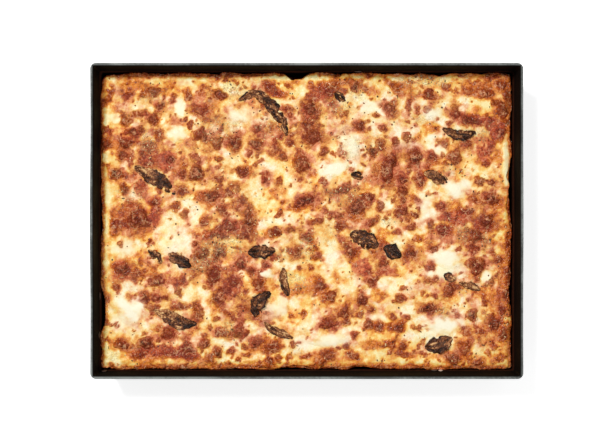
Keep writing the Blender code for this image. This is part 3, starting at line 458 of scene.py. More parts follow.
def crust_inset(side, along):
    """The crust's own unevenness against the wall, with its notches."""
    start = WAVER_START[side]
    waver = 0.45 * np.sin(along / 6.1 + start) + 0.3 * np.sin(along / 3.3 + 2.0 * start)
    waver = waver + 0.9 * fractal(along, 0.0 * along + 20.0 * start, 3.4, 3, 131)
    return WALL_GAP + np.maximum(0.0, SHRINKAGE[side] + waver) + notch_depth(side, along)


def shown_crust(side, along):
    """The width of crust that shows outside the cheese."""
    start = SHOWN_START[side]
    waver = 0.9 * np.sin(along / 11.0 + start) + 0.6 * np.sin(along / 4.1 - start)
    return SHOWN_CRUST + waver


def food_point(u, v, half, extra_inset):
    """Lays points of the unit square into the food's outline."""
    right, left = extra_inset("right", v * half[1]), extra_inset("left", v * half[1])
    top, bottom = extra_inset("top", u * half[0]), extra_inset("bottom", u * half[0])
    inset_x = np.where(u > 0, right, left) * np.abs(u) ** EDGE_REACH
    inset_y = np.where(v > 0, top, bottom) * np.abs(v) ** EDGE_REACH
    # The top left corner is rounder than the others
    rounded = (np.asarray(u) < 0) & (np.asarray(v) > 0)
    both = np.abs(u) * np.abs(v)
    pulls = [pull * both ** power for pull, power in (ROUND_CORNER, SHARP_CORNER)]
    corner = np.where(rounded, *pulls)
    x = np.copysign(np.abs(u) * half[0] - inset_x - corner, u)
    y = np.copysign(np.abs(v) * half[1] - inset_y - corner, v)
    return x, y


def lobed_distance(x, y, spot):
    """Distance from a spot's middle, 1 at its uneven outline."""
    middle_x, middle_y, length, width, turn = spot[:5]
    angle = math.radians(turn)
    dx = x - middle_x
    dy = y - middle_y
    along = (dx * math.cos(angle) + dy * math.sin(angle)) / (length / 2)
    across = (dy * math.cos(angle) - dx * math.sin(angle)) / (width / 2)
    bearing = np.arctan2(across, along)
    start = 0.37 * middle_x + 0.61 * middle_y
    lobes = 1.0 + 0.11 * np.sin(3 * bearing + start) + 0.07 * np.sin(5 * bearing - 2 * start)
    return np.hypot(along, across) / lobes


def segment_distance(x, y, start, end):
    """Distance from points to a straight line between two places."""
    run = (end[0] - start[0], end[1] - start[1])
    length = run[0] ** 2 + run[1] ** 2
    part = np.clip(((x - start[0]) * run[0] + (y - start[1]) * run[1]) / length, 0.0, 1.0)
    return np.hypot(x - start[0] - part * run[0], y - start[1] - part * run[1])


def midrib_distance(x, y, midrib):
    """Distance from points to a leaf's midrib."""
    return np.minimum.reduce([
        segment_distance(x, y, start, end) for start, end in zip(midrib, midrib[1:])
    ])


def rolling(x, y):
    """The slow rises and hollows of the baked top."""
    slow = 0.8 * np.sin(x / 23.0 + 1.3) * np.cos(y / 19.0 - 0.4)
    return slow + 0.5 * np.sin(x / 12.0 - y / 15.0 + 2.0) + 0.5 * np.cos(x / 41.0 + y / 17.0)


def extra_blisters():
    """Blisters of the solids that a seeded draw scatters where no named feature lies."""
    draw = random.Random(BLISTER_SEED)
    found = []
    half = wall_half(CHEESE_TOP)
    while len(found) < EXTRA_BLISTERS:
        x = draw.uniform(-half[0] + 10, half[0] - 10)
        y = draw.uniform(-half[1] + 10, half[1] - 10)
        length = SMALLEST_BLISTER + 3.0 * draw.random() ** 2
        width = length * draw.uniform(0.7, 1.0)
        turn = draw.uniform(0, 180)
        taken = [spot for spot in BLISTERS + FRESH_CHEESE + tuple(found)
                 if math.hypot(spot[0] - x, spot[1] - y) < 0.5 * (spot[2] + length)]
        leaf = min(float(midrib_distance(x, y, midrib)) for midrib, _ in BASIL)
        if not taken and leaf > 10.0:
            found.append((x, y, length, width, turn))
    return tuple(found)


def small_blisters():
    """Small browned spots, more of them where the top is browned and none on the pools."""
    draw = random.Random(SMALL_SEED)
    half = wall_half(CHEESE_TOP)
    found = []
    while len(found) < SMALL_BLISTERS:
        x = draw.uniform(-half[0] + 4, half[0] - 4)
        y = draw.uniform(-half[1] + 3, half[1] - 3)
        length = SMALL_LENGTH + SMALL_SPREAD * draw.random() ** 1.8
        width = length * draw.uniform(0.4, 1.0)
        turn = draw.uniform(0, 180)
        pale = [spot for spot in FRESH_CHEESE if lobed_distance(x, y, spot) < 1.0]
        soft = [spot for spot in PALE if lobed_distance(x, y, spot) < 1.0]
        if not pale and not (soft and draw.random() < 0.7):
            found.append((x, y, length, width, turn))
    return tuple(found)


CAD_BLISTERS = BLISTERS + extra_blisters()
FINE_BLISTERS = SPOTS + small_blisters()


def window(x, y, spot, reach):
    """Which points lie near enough to a spot to be touched by it."""
    size = reach * max(spot[2], spot[3]) / 2 + 2.0
    return (np.abs(x - spot[0]) < size) & (np.abs(y - spot[1]) < size)


def blister_toast(reach, size, number, side):
    """How browned a blister is: a crisp rim, heart and halo, and a crescent of painted shade."""
    soft = 0.04 + 0.35 / size
    plateau = 0.60 * smooth_step((0.99 + soft - reach) / (2.0 * soft))
    large = smooth_step((size - 3.0) / 5.0)
    heart = (0.20 + 0.12 * math.sin(number * 3.7)) * large * smooth_step((0.84 - reach) / 0.32)
    # Painted shade: the heart and ring darken as side nears 1
    heart = heart * (1.0 + 0.5 * side)
    ring = 0.44 * np.clip(0.40 + 0.8 * side, 0.0, 1.0) * np.exp(-(((reach - 0.84) / 0.12) ** 2))
    halo = (0.28 + 0.16 * math.sin(number * 5.1)) * smooth_step((2.0 - reach) / 1.1)
    small = 0.80 + 0.20 * smooth_step((size - 1.5) / 4.0)
    return small * np.maximum(plateau + heart + ring, halo)


def blot(x, y, spot, noise, reach, soft):
    """A patch with an uneven, soft edge: 1 inside it and 0 outside."""
    return smooth_step((reach - lobed_distance(x, y, spot) - noise) / soft)


class Top:
    """The baked top over a set of places: its height and what lies on it."""

    steps = None  # shares of the browning, measured once, over the cheese

    def __init__(self, x, y):
        self.x = x
        self.y = y
        self.measure_edge()
        self.grow_blisters()
        self.lay_patches()
        self.flatten_beds()
        self.finish()

    def measure_edge(self):
        """Distances to the wall, the slow shape of the top, and its crookedness."""
        x, y = self.x, self.y
        half = wall_half(CHEESE_TOP)
        self.to_edge = np.minimum(half[0] - np.abs(x), half[1] - np.abs(y))
        bed = CHEESE_TOP + rolling(x, y)
        self.bed = bed + EDGE_CLIMB * smooth_step(1.0 - self.to_edge / EDGE_CLIMB_REACH)
        self.warped_x = x + 1.9 * uneven(x, y, "warp_x")
        self.warped_y = y + 1.9 * uneven(x, y, "warp_y")

    def grow_blisters(self):
        """Domes and their browning, from the outer halo to the soft crown."""
        x, y = self.x, self.y
        self.level = self.bed.copy()
        self.crown = np.zeros_like(x)
        summed = np.zeros_like(x)
        for number, spot in enumerate(CAD_BLISTERS + FINE_BLISTERS):
            near = window(x, y, spot, 2.1)
            if not near.any():
                continue
            size = min(spot[2], spot[3])
            reach = lobed_distance(self.warped_x[near], self.warped_y[near], spot)
            if number < len(CAD_BLISTERS):
                rise = BLISTER_LEAST_RISE + BLISTER_RISE * spot[3]
            else:
                rise = 0.35 + 0.16 * size
            self.level[near] += rise * smooth_step(1.15 - reach)
            burnt = 0.86 + 0.14 * math.sin(number * 2.4)
            # Painted shade falls on the side this bearing points to, for most blisters the lower
            # right
            bearing = number * 2.1 if number % 3 == 0 else 5.3 + 0.6 * math.sin(number * 1.3)
            toward_shade = (x[near] - spot[0]) * math.cos(bearing) + (y[near] - spot[1]) * math.sin(bearing)
            toast = blister_toast(reach, size, number, np.clip(2.0 * toward_shade / size, -1.0, 1.0))
            summed[near] += (burnt * toast) ** 3
            crown = smooth_step((0.84 - reach) / 0.4) * smooth_step((size - 4.0) / 4.0)
            crown *= 0.65 + 0.35 * math.sin(number * 1.7)
            self.crown[near] = np.maximum(self.crown[near], crown)
        self.blistered = np.cbrt(summed)

    def lay_patches(self):
        """The browning between blisters, sauce, oil, pale stretches and speckle."""
        x, y = self.x, self.y
        cloud = uneven(x, y, "cloud")
        middling = uneven(x, y, "middling")
        fine = uneven(x, y, "fine")
        self.tone = 0.17 + 0.17 * cloud + 0.19 * middling + 0.13 * fine
        self.sauce = 0.20 + 0.45 * uneven(x, y, "sauce")
        self.rosy = 0.42 + 1.1 * uneven(x, y, "rosy")
        self.oil = np.clip(0.25 + 0.9 * uneven(x, y, "oil"), 0.0, 1.0)
        self.pale = np.zeros_like(x)
        self.speckle = np.clip(0.5 * uneven(x, y, "speckle"), 0.0, 0.3)
        edge_noise = 0.40 * uneven(x, y, "patch_edge")
        for spot in PATCHES:
            inside = blot(x, y, spot, edge_noise, 1.30, 0.6)
            self.tone += 0.62 * spot[5] * inside
            self.sauce = np.maximum(self.sauce, inside * spot[6])
            self.oil = np.maximum(self.oil, inside * spot[7])
        for spot in PALE:
            inside = blot(x, y, spot, edge_noise, 1.25, 0.7)
            self.pale = np.maximum(self.pale, spot[5] * inside)
        for spot in SPECKLE:
            inside = blot(x, y, spot, edge_noise, 1.35, 0.7)
            self.speckle = np.maximum(self.speckle, spot[5] * inside)
        edge = smooth_step(1.0 - self.to_edge / 9.0)
        side = smooth_step((x - 130.0) / 40.0)
        self.tone += edge * (0.12 * side + 0.34 * uneven(x, y, "side_tone"))
        lip = smooth_step(1.0 - (self.to_edge - 1.5) / 4.5)
        self.pale *= 1.0 - 0.85 * lip
        self.lip = lip
        self.tone += 0.34 * lip * (1.0 + uneven(x, y, "lip"))
        border = smooth_step(1.0 - self.to_edge / 34.0)
        self.oil = np.maximum(self.oil, border * (0.95 + 0.6 * uneven(x, y, "side_oil")))
        self.tone -= 0.24 * self.pale
        self.brown = self.tone + 0.85 * self.blistered * (1.0 - 0.3 * self.pale)

    def flatten_beds(self):
        """Lets the leaves and the pools of fresh cheese lie in smooth beds."""
        x, y = self.x, self.y
        self.white = np.zeros_like(x)
        for midrib, width in BASIL:
            reach = midrib_distance(x, y, midrib) - width / 2
            keep = smooth_step(reach / BED_MARGIN)
            self.level = self.bed + (self.level - self.bed) * keep
        edge_noise = 0.55 * uneven(x, y, "pool_edge")
        for spot, white in zip(FRESH_CHEESE, POOL_WHITE):
            reach = (lobed_distance(x, y, spot) - 1.0) * spot[3] / 2
            keep = smooth_step(reach / BED_MARGIN)
            flat = CHEESE_TOP + rolling(np.float64(spot[0]), np.float64(spot[1]))
            self.level = flat + (self.level - flat) * keep
            soft = lobed_distance(x, y, spot) + edge_noise
            self.white = np.maximum(self.white, white * smooth_step((1.14 - soft) / 0.85))
        self.brown *= 1.0 - 0.9 * self.white
        for spot in MILKY:
            inside = blot(x, y, spot, edge_noise, 1.25, 0.9)
            clear = (1.0 - self.blistered) * (1.0 - self.lip)
            self.white = np.maximum(self.white, spot[5] * inside * clear)

    def finish(self):
        """The drop at the edge, and the fine unevenness of melted cheese."""
        x, y = self.x, self.y
        drop = SHOWN_CRUST + EDGE_DROP_REACH
        self.level = self.level - EDGE_DROP * smooth_step(1.0 - (self.to_edge - SHOWN_CRUST) / drop)
        soft = 1.0 - np.maximum(self.white, 0.6 * self.pale)
        coarse = 0.60 * uneven(x, y, "coarse")
        wrinkle = 1.20 * (0.3 - np.abs(uneven(x, y, "wrinkle"))) * (0.3 + self.blistered)
        grain = 0.30 * lattice_noise(x, y, 1.7, 83) * (0.6 + self.speckle)
        craggy = smooth_step(1.0 - self.to_edge / 12.0) * 0.8 * uneven(x, y, "crag")
        self.level = self.level + soft * (coarse + wrinkle + grain + craggy)

    def toast(self):
        """The browning as a share of the whole top: 0 the palest, 1 the darkest."""
        if Top.steps is None:
            Top.steps = np.quantile(self.brown, np.linspace(0.0, 1.0, TONE_STEPS))
        return np.interp(self.brown, Top.steps, np.linspace(0.0, 1.0, TONE_STEPS))

    def fields(self):
        """What the food's material reads at each place."""
        kinds = ("crown", "sauce", "rosy", "oil", "white", "speckle")
        return {"toast": self.toast(), **{kind: getattr(self, kind) for kind in kinds}}


def padded(fields, numbers):
    """The fields once more for points that lie below given ones."""
    return {name: np.concatenate([values, values[numbers]]) for name, values in fields.items()}


def mesh_from(name, points, faces):
    """A smooth mesh from points in millimetres."""
    mesh = bpy.data.meshes.new(name)
    mesh.from_pydata([(x * MM, y * MM, z * MM) for x, y, z in points], [], faces)
    mesh.validate()
    mesh.shade_smooth()
    mesh.update()
    return mesh


def add_piece(mesh, fields, material, node=None):
    """Puts a mesh in the scene under its own name, with one number a point for each field."""
    for name, values in fields.items():
        layer = mesh.attributes.new(name, "FLOAT", "POINT")
        layer.data.foreach_set("value", np.ascontiguousarray(values, dtype=np.float32))
    made = bpy.data.objects.new(mesh.name, mesh)
    bpy.context.scene.collection.objects.link(made)
    mesh.materials.append(material)
    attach(made, "root")
    if node:
        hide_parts(node)
    return made


def ring_faces(first, second, count):
    """Quads between two rings of points, given the number of their first points."""
    return [
        (first + i, first + (i + 1) % count, second + (i + 1) % count, second + i)
        for i in range(count)
    ]


def close_ends(points, faces, count, low_level, high_level):
    """Closes a stack of rings with a fan below and one above. Gives the last ring's start."""
    low = len(points)
    last = low - count
    points += [(0.0, 0.0, low_level), (0.0, 0.0, high_level)]
    faces += [(low, (i + 1) % count, i) for i in range(count)]
    faces += [(low + 1, last + i, last + (i + 1) % count) for i in range(count)]
    return last


def cheese_inset(side, along):
    """How far in from the wall the cheese ends: it laps over most of the crust's top."""
    start = RAGGED_START[side]
    ragged = 0.55 + 0.9 * fractal(along, 0.0 * along + start, 7.0, 3, 121)
    return crust_inset(side, along) + np.clip(ragged, 0.12, 1.0) * shown_crust(side, along)


def make_cheese(material):
    """The melted cheese as a fine relief, closed below."""
    half = wall_half(CRUST_RIM_TOP + GAP)
    columns = round(2 * half[0] / TOP_CELL) + 1
    rows = round(2 * half[1] / TOP_CELL) + 1
    u, v = np.meshgrid(np.linspace(-1, 1, columns), np.linspace(-1, 1, rows))
    x, y = food_point(u.ravel(), v.ravel(), half, lambda s, a: cheese_inset(s, a) + GAP)
    top = Top(x, y)
    points = list(zip(x, y, top.level))
    faces = []
    for row in range(rows - 1):
        start = row * columns
        faces += [(start + i, start + i + 1, start + i + columns + 1, start + i + columns)
                  for i in range(columns - 1)]
    edge = list(range(columns))
    edge += [row * columns + columns - 1 for row in range(1, rows)]
    edge += [(rows - 1) * columns + i for i in range(columns - 2, -1, -1)]
    edge += [row * columns for row in range(rows - 2, 0, -1)]
    first = len(points)
    points += [(x[i], y[i], CHEESE_BOTTOM) for i in edge]
    count = len(edge)
    for i in range(count):
        after = (i + 1) % count
        faces.append((first + i, first + after, edge[after], edge[i]))
    middle = len(points)
    points.append((0.0, 0.0, CHEESE_BOTTOM))
    faces += [(middle, first + (i + 1) % count, first + i) for i in range(count)]
    mesh = mesh_from("cheese_top", points, faces)
    add_piece(mesh, padded(top.fields(), edge + [0]), material, "cheese")


def make_crust(material):
    """The browned dough and its caramelised edge against the wall."""
    half = wall_half(CRUST_RIM_TOP)
    across = round(2 * half[0] / EDGE_CELL)
    down = round(2 * half[1] / EDGE_CELL)
    along_x = np.linspace(-1, 1, across, endpoint=False)
    along_y = np.linspace(-1, 1, down, endpoint=False)
    u = np.concatenate([along_x, np.ones(down), -along_x, -np.ones(down)])
    v = np.concatenate([-np.ones(across), along_y, np.ones(across), -along_y])
    count = len(u)

    def ring(level, share, foot=False):
        def inset(side, along):
            if foot:
                return HEEL_INSET + 0.3 * notch_depth(side, along)
            return crust_inset(side, along) + share * shown_crust(side, along)
        return food_point(u, v, wall_half(level), inset)

    levels = (
        (CRUST_BOTTOM, 0.0, 0.0, True),
        (12.0, 0.0, 0.0, True),
        (22.0, 0.0, 0.0, True),
        (CRUST_SHOULDER - 1.2, 0.0, 0.4, False),
        (CRUST_SHOULDER + 0.6, 0.02, 0.8, False),
        (CRUST_RIM_TOP - 1.0, 0.08, 1.0, False),
        (CRUST_RIM_TOP - 0.3, 0.20, 1.0, False),
        (CRUST_RIM_TOP, 0.36, 1.0, False),
        (CRUST_RIM_TOP + 0.1, 0.55, 1.0, False),
        (CRUST_RIM_TOP + 0.1, 0.78, 1.0, False),
        (CRUST_RIM_TOP, 1.0, 0.8, False),
        (CRUST_FLOOR, 1.0, 0.0, False),
    )
    points = []
    places = []
    outer = []
    faces = []
    for number, (level, share, rough, foot) in enumerate(levels):
        x, y = ring(level, share, foot)
        lift = 0.7 * np.sin(x / 7.0) * np.cos(y / 6.0) * min(1.0, rough)
        ragged = rough * (1.1 * uneven(x, y, "crust") + 0.3)
        if number == len(levels) - 1:
            x, y = ring(CRUST_RIM_TOP + 0.3, share, foot)
        places.append((x, y))
        outer.append(np.full(count, 1.0 - share))
        points += list(zip(x, y, level + lift + ragged))
        if number:
            faces += ring_faces((number - 1) * count, number * count, count)
    last = close_ends(points, faces, count, CRUST_BOTTOM, CRUST_FLOOR)
    mesh = mesh_from("crust_edge", points, faces)
    top = Top(np.concatenate([x for x, _ in places]), np.concatenate([y for _, y in places]))
    fields = top.fields()
    edge = np.concatenate(outer)
    browned = 0.30 + 0.52 * fields["toast"] + 0.54 * smooth_step((edge - 0.50) / 0.40)
    fields.update(
        toast=np.clip(browned, 0.0, 1.0), white=np.zeros_like(edge), crown=np.zeros_like(edge),
    )
    add_piece(mesh, padded(fields, [0, last]), material, "crust")


def make_pool(number, spot, material):
    """A soft mound of fresh cheese that melts into what lies round it."""
    middle_x, middle_y, length, width, turn = spot
    angle = math.radians(turn)
    sides = POOL_SIDES
    bearings = 2 * np.pi * np.arange(sides) / sides
    start = number * 7 + 200
    circle_x = 3.0 * np.cos(bearings)
    circle_y = 3.0 * np.sin(bearings)
    lobes = 1.0 + 0.10 * np.sin(3 * bearings + number) + 0.07 * np.sin(4 * bearings - number)
    lobes = POOL_SPREAD * (lobes + 0.10 * fractal(circle_x, circle_y, 1.2, 3, start))
    points_x = [np.array([middle_x], dtype=float)]
    points_y = [np.array([middle_y], dtype=float)]
    scales = [np.zeros(1)]
    for step in range(1, POOL_RINGS + 1):
        scale = step / POOL_RINGS
        along = scale * lobes * length / 2 * np.cos(bearings)
        across = scale * lobes * width / 2 * np.sin(bearings)
        points_x.append(middle_x + along * math.cos(angle) - across * math.sin(angle))
        points_y.append(middle_y + along * math.sin(angle) + across * math.cos(angle))
        scales.append(np.full(sides, scale))
    x = np.concatenate(points_x)
    y = np.concatenate(points_y)
    scale = np.concatenate(scales)
    top = Top(x, y)
    dome = (1.0 - scale ** 2) ** 1.5
    sag = 0.5 * fractal(x, y, 4.5, 3, start + 40)
    z = top.level + 0.12 + (POOL_RISE + sag) * dome - 0.30 * smooth_step((scale - 0.86) / 0.14)
    points = list(zip(x, y, z))
    faces = [(0, 1 + i, 1 + (i + 1) % sides) for i in range(sides)]
    for step in range(POOL_RINGS - 1):
        faces += ring_faces(1 + step * sides, 1 + (step + 1) * sides, sides)
    faces = [tuple(reversed(face)) if len(face) == 4 else face for face in faces]
    outer = 1 + (POOL_RINGS - 1) * sides
    below = len(points)
    base = float(np.min(z)) - POOL_DEPTH
    points += [(x[outer + i], y[outer + i], base) for i in range(sides)]
    faces += [tuple(reversed(face)) for face in ring_faces(outer, below, sides)]
    faces.append(tuple(below + i for i in reversed(range(sides))))
    mesh = mesh_from(f"soft_cheese_{number:02d}", points, faces)
    fields = padded(top.fields(), list(range(outer, outer + sides)))
    add_piece(mesh, fields, material, f"fresh_cheese_{number:02d}")


def smooth_midrib(midrib, steps):
    """Places and headings along a curve through a leaf's midrib points."""
    knots = np.array([midrib[0], *midrib, midrib[-1]], dtype=float)
    knots[0] = 2 * knots[1] - knots[2]
    knots[-1] = 2 * knots[-2] - knots[-3]
    legs = len(midrib) - 1
    places = []
    for part in np.linspace(0.0, legs, 200):
        leg = min(int(part), legs - 1)
        t = part - leg
        a, b, c, d = knots[leg:leg + 4]
        places.append(0.5 * (2 * b + (c - a) * t + (2 * a - 5 * b + 4 * c - d) * t ** 2
                             + (3 * b - a - 3 * c + d) * t ** 3))
    places = np.array(places)
    gone = np.concatenate([[0.0], np.cumsum(np.hypot(*np.diff(places, axis=0).T))])
    wanted = np.linspace(0.0, gone[-1], steps + 1)
    x = np.interp(wanted, gone, places[:, 0])
    y = np.interp(wanted, gone, places[:, 1])
    heading = np.unwrap(np.arctan2(np.gradient(y), np.gradient(x)))
    return x, y, heading, gone[-1]


def make_leaf(number, midrib, width, look, material):
    """A baked basil leaf: crinkled, curled, and partly covered by the cheese."""
    light_start, light_end, cover = look
    rough_length = sum(math.dist(start, end) for start, end in zip(midrib, midrib[1:]))
    columns = LEAF_COLUMNS
    steps = max(columns, round(rough_length / LEAF_STEP))
    x, y, heading, length = smooth_midrib(midrib, steps)
    part = np.linspace(0.0, 1.0, steps + 1)[:, None] * np.ones((1, columns + 1))
    across = np.linspace(-1.0, 1.0, columns + 1)[None, :] * np.ones((steps + 1, 1))
    fullness = np.sin(np.pi * (0.02 + 0.96 * part)) ** 0.65
    teeth = 0.34 * fractal(part * length, across * 2.0 + 40.0 * number, 3.2, 3, 300 + number)
    teeth = teeth + 0.14 * fractal(
        part * length, across * 1.5 + 40.0 * number, 9.0, 2, 430 + number)
    shown_width = min(width, WIDEST_LEAF * length)
    out = across * fullness * (1.0 + teeth * np.abs(across)) * shown_width / 2
    place_x = x[:, None] - out * np.sin(heading)[:, None]
    place_y = y[:, None] + out * np.cos(heading)[:, None]
    flat_x, flat_y = place_x.ravel(), place_y.ravel()
    ground = Top(flat_x, flat_y).level.reshape(part.shape)
    lift = 0.7 * (0.5 + 0.5 * np.sin(part * length / 3.1 + 1.7 * number + 1.3 * across))
    curl = 1.2 * across ** 2 * (0.5 + 0.5 * np.sin(part * length / 5.0 + number))
    crinkle = fractal(flat_x, flat_y, 3.2, 3, 330 + number).reshape(part.shape)
    ridges = 1.0 - 2.0 * np.abs(fractal(flat_x, flat_y, 4.2, 2, 350 + number).reshape(part.shape))
    buried = fractal(flat_x, flat_y, 6.5, 3, 370 + number).reshape(part.shape)
    streaks = fractal(part * length / 3.4 + 60.0 * number, across * width / 2, 2.4, 2, 410 + number)
    seams = smooth_step((0.10 - np.abs(streaks)) / 0.10)
    sunk = smooth_step((buried + 0.45 * np.abs(across) ** 3 - 0.54 + cover) / 0.30)
    ends = smooth_step(part / 0.1) * smooth_step((1.0 - part) / 0.1)
    crests = 1.0 * crinkle + 1.0 * ridges + 0.7 * seams
    level = ground + LEAF_LIFT + ends * (lift + curl + crests) - LEAF_SUNK * sunk
    level = np.maximum(level, ground - 0.6)
    rim = (0.14 - 0.3 * max(light_start, light_end)) * smooth_step((np.abs(across) - 0.62) / 0.38)
    row = columns + 1
    points = list(zip(flat_x, flat_y, level.ravel()))
    faces = []
    for step in range(steps):
        start = step * row
        faces += [(start + i, start + row + i, start + row + i + 1, start + i + 1)
                  for i in range(columns)]
    mesh = mesh_from(f"basil_leaf_{number:02d}", points, faces)
    if mesh.polygons[len(mesh.polygons) // 2].normal.z < 0:
        mesh.flip_normals()
    light = (light_start + (light_end - light_start) * part).ravel()
    patches = 0.22 + light + 0.45 * fractal(part * length / 2.6 + 90.0 * number, across * width / 2,
                                            2.6, 3, 390 + number).ravel()
    shown = smooth_step(0.5 + 1.6 * fractal(flat_x, flat_y, 6.0, 2, 450 + number))
    # Painted highlight: lighter on ridge crests; tan seam streaks and the darker rim are its own
    # tone
    sheen_streaks = 0.20 * smooth_step((ridges.ravel() - 0.72) / 0.28)
    sheen_streaks = sheen_streaks + (0.24 + 0.5 * light) * 1.6 * seams.ravel() * shown - rim.ravel()
    fields = {
        "rib": np.abs(across).ravel(), "run": (part * length).ravel(), "tone_sheen": patches + sheen_streaks,
    }
    made = add_piece(mesh, fields, material)
    thicken = made.modifiers.new("thickness", "SOLIDIFY")
    thicken.thickness = LEAF_THICKNESS * MM
    thicken.offset = 1.0
    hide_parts(f"basil_{number:02d}")


def rounded_ring(half_x, half_y, radius, level):
    """Points round a rectangle with round corners, against the clock from the right side."""
    radius = max(radius, 0.05)

    def on_corner(quarter, share):
        turn = math.pi / 2 * (quarter + share)
        side_x = 1 if quarter in (0, 3) else -1
        side_y = 1 if quarter in (0, 1) else -1
        return (
            side_x * (half_x - radius) + radius * math.cos(turn),
            side_y * (half_y - radius) + radius * math.sin(turn),
        )

    points = []
    for quarter in range(4):
        points += [(*on_corner(quarter, step / CORNER_STEPS), level)
                   for step in range(CORNER_STEPS + 1)]
        last = points[-1]
        goal = on_corner((quarter + 1) % 4, 0)
        for step in range(1, WALL_STEPS):
            share = step / WALL_STEPS
            points.append((*[last[i] + share * (goal[i] - last[i]) for i in (0, 1)], level))
    return points


def pan_profile():
    """Rings of the pan from its foot, up the outside, round the roll and down the inside.

    Each is half the length, half the width, the corner's radius and the level.
    """
    skin = SHEET / math.cos(WALL_TAPER)
    rings = []

    def add(out, level, radius):
        half = wall_half(level)
        rings.append((half[0] + out, half[1] + out, radius, level))

    foot = wall_half(0.0)
    for step in range(4):
        turn = math.pi / 2 * step / 4
        out = skin - BASE_EDGE_RADIUS * (1 - math.sin(turn))
        level = BASE_EDGE_RADIUS * (1 - math.cos(turn))
        rings.append((foot[0] + out, foot[1] + out, WALL_CORNER_RADIUS, level))
    for level in (BASE_EDGE_RADIUS, 8.0, 16.0, 26.0, 36.0, 46.0, 54.0):
        add(skin, level, WALL_CORNER_RADIUS)
    middle = (RIM_LENGTH / 2 - ROLL_RADIUS, RIM_WIDTH / 2 - ROLL_RADIUS)
    middle_level = PAN_HEIGHT - ROLL_RADIUS
    middle_radius = RIM_CORNER_RADIUS - ROLL_RADIUS
    for step in range(19):
        turn = math.radians(-108 + 288 * step / 18)
        out = ROLL_RADIUS * math.cos(turn)
        rings.append((
            middle[0] + out, middle[1] + out, middle_radius + out,
            middle_level + ROLL_RADIUS * math.sin(turn),
        ))
    for level in (54.0, 46.0, 40.0, 36.0, 32.0, 24.0, 12.0, 3.5, SHEET):
        add(0.0, level, WALL_CORNER_RADIUS - SHEET)
    return rings


def make_pan(material):
    """The pan with a smooth rolled rim and walls that aren't quite flat."""
    rings = pan_profile()
    points = []
    faces = []
    count = 0
    for number, (half_x, half_y, radius, level) in enumerate(rings):
        ring = rounded_ring(half_x, half_y, radius, level)
        count = len(ring)
        for x, y, z in ring:
            wave = WALL_WAVE * math.sin(x / 31.0 + 1.0) * math.cos(y / 27.0) - WALL_SETBACK
            reach = max(abs(x) / half_x, abs(y) / half_y)
            flat = 1.0 if level > 10.0 else level / 10.0
            share = 1.0 + flat * wave / half_y * (reach > 0.99)
            points.append((x * share, y * share, z))
        if number:
            faces += ring_faces((number - 1) * count, number * count, count)
    close_ends(points, faces, count, 0.0, SHEET)
    mesh = mesh_from("steel_pan", points, faces)
    mesh.set_sharp_from_angle(angle=math.radians(40.0))
    add_piece(mesh, {}, material, "pan")


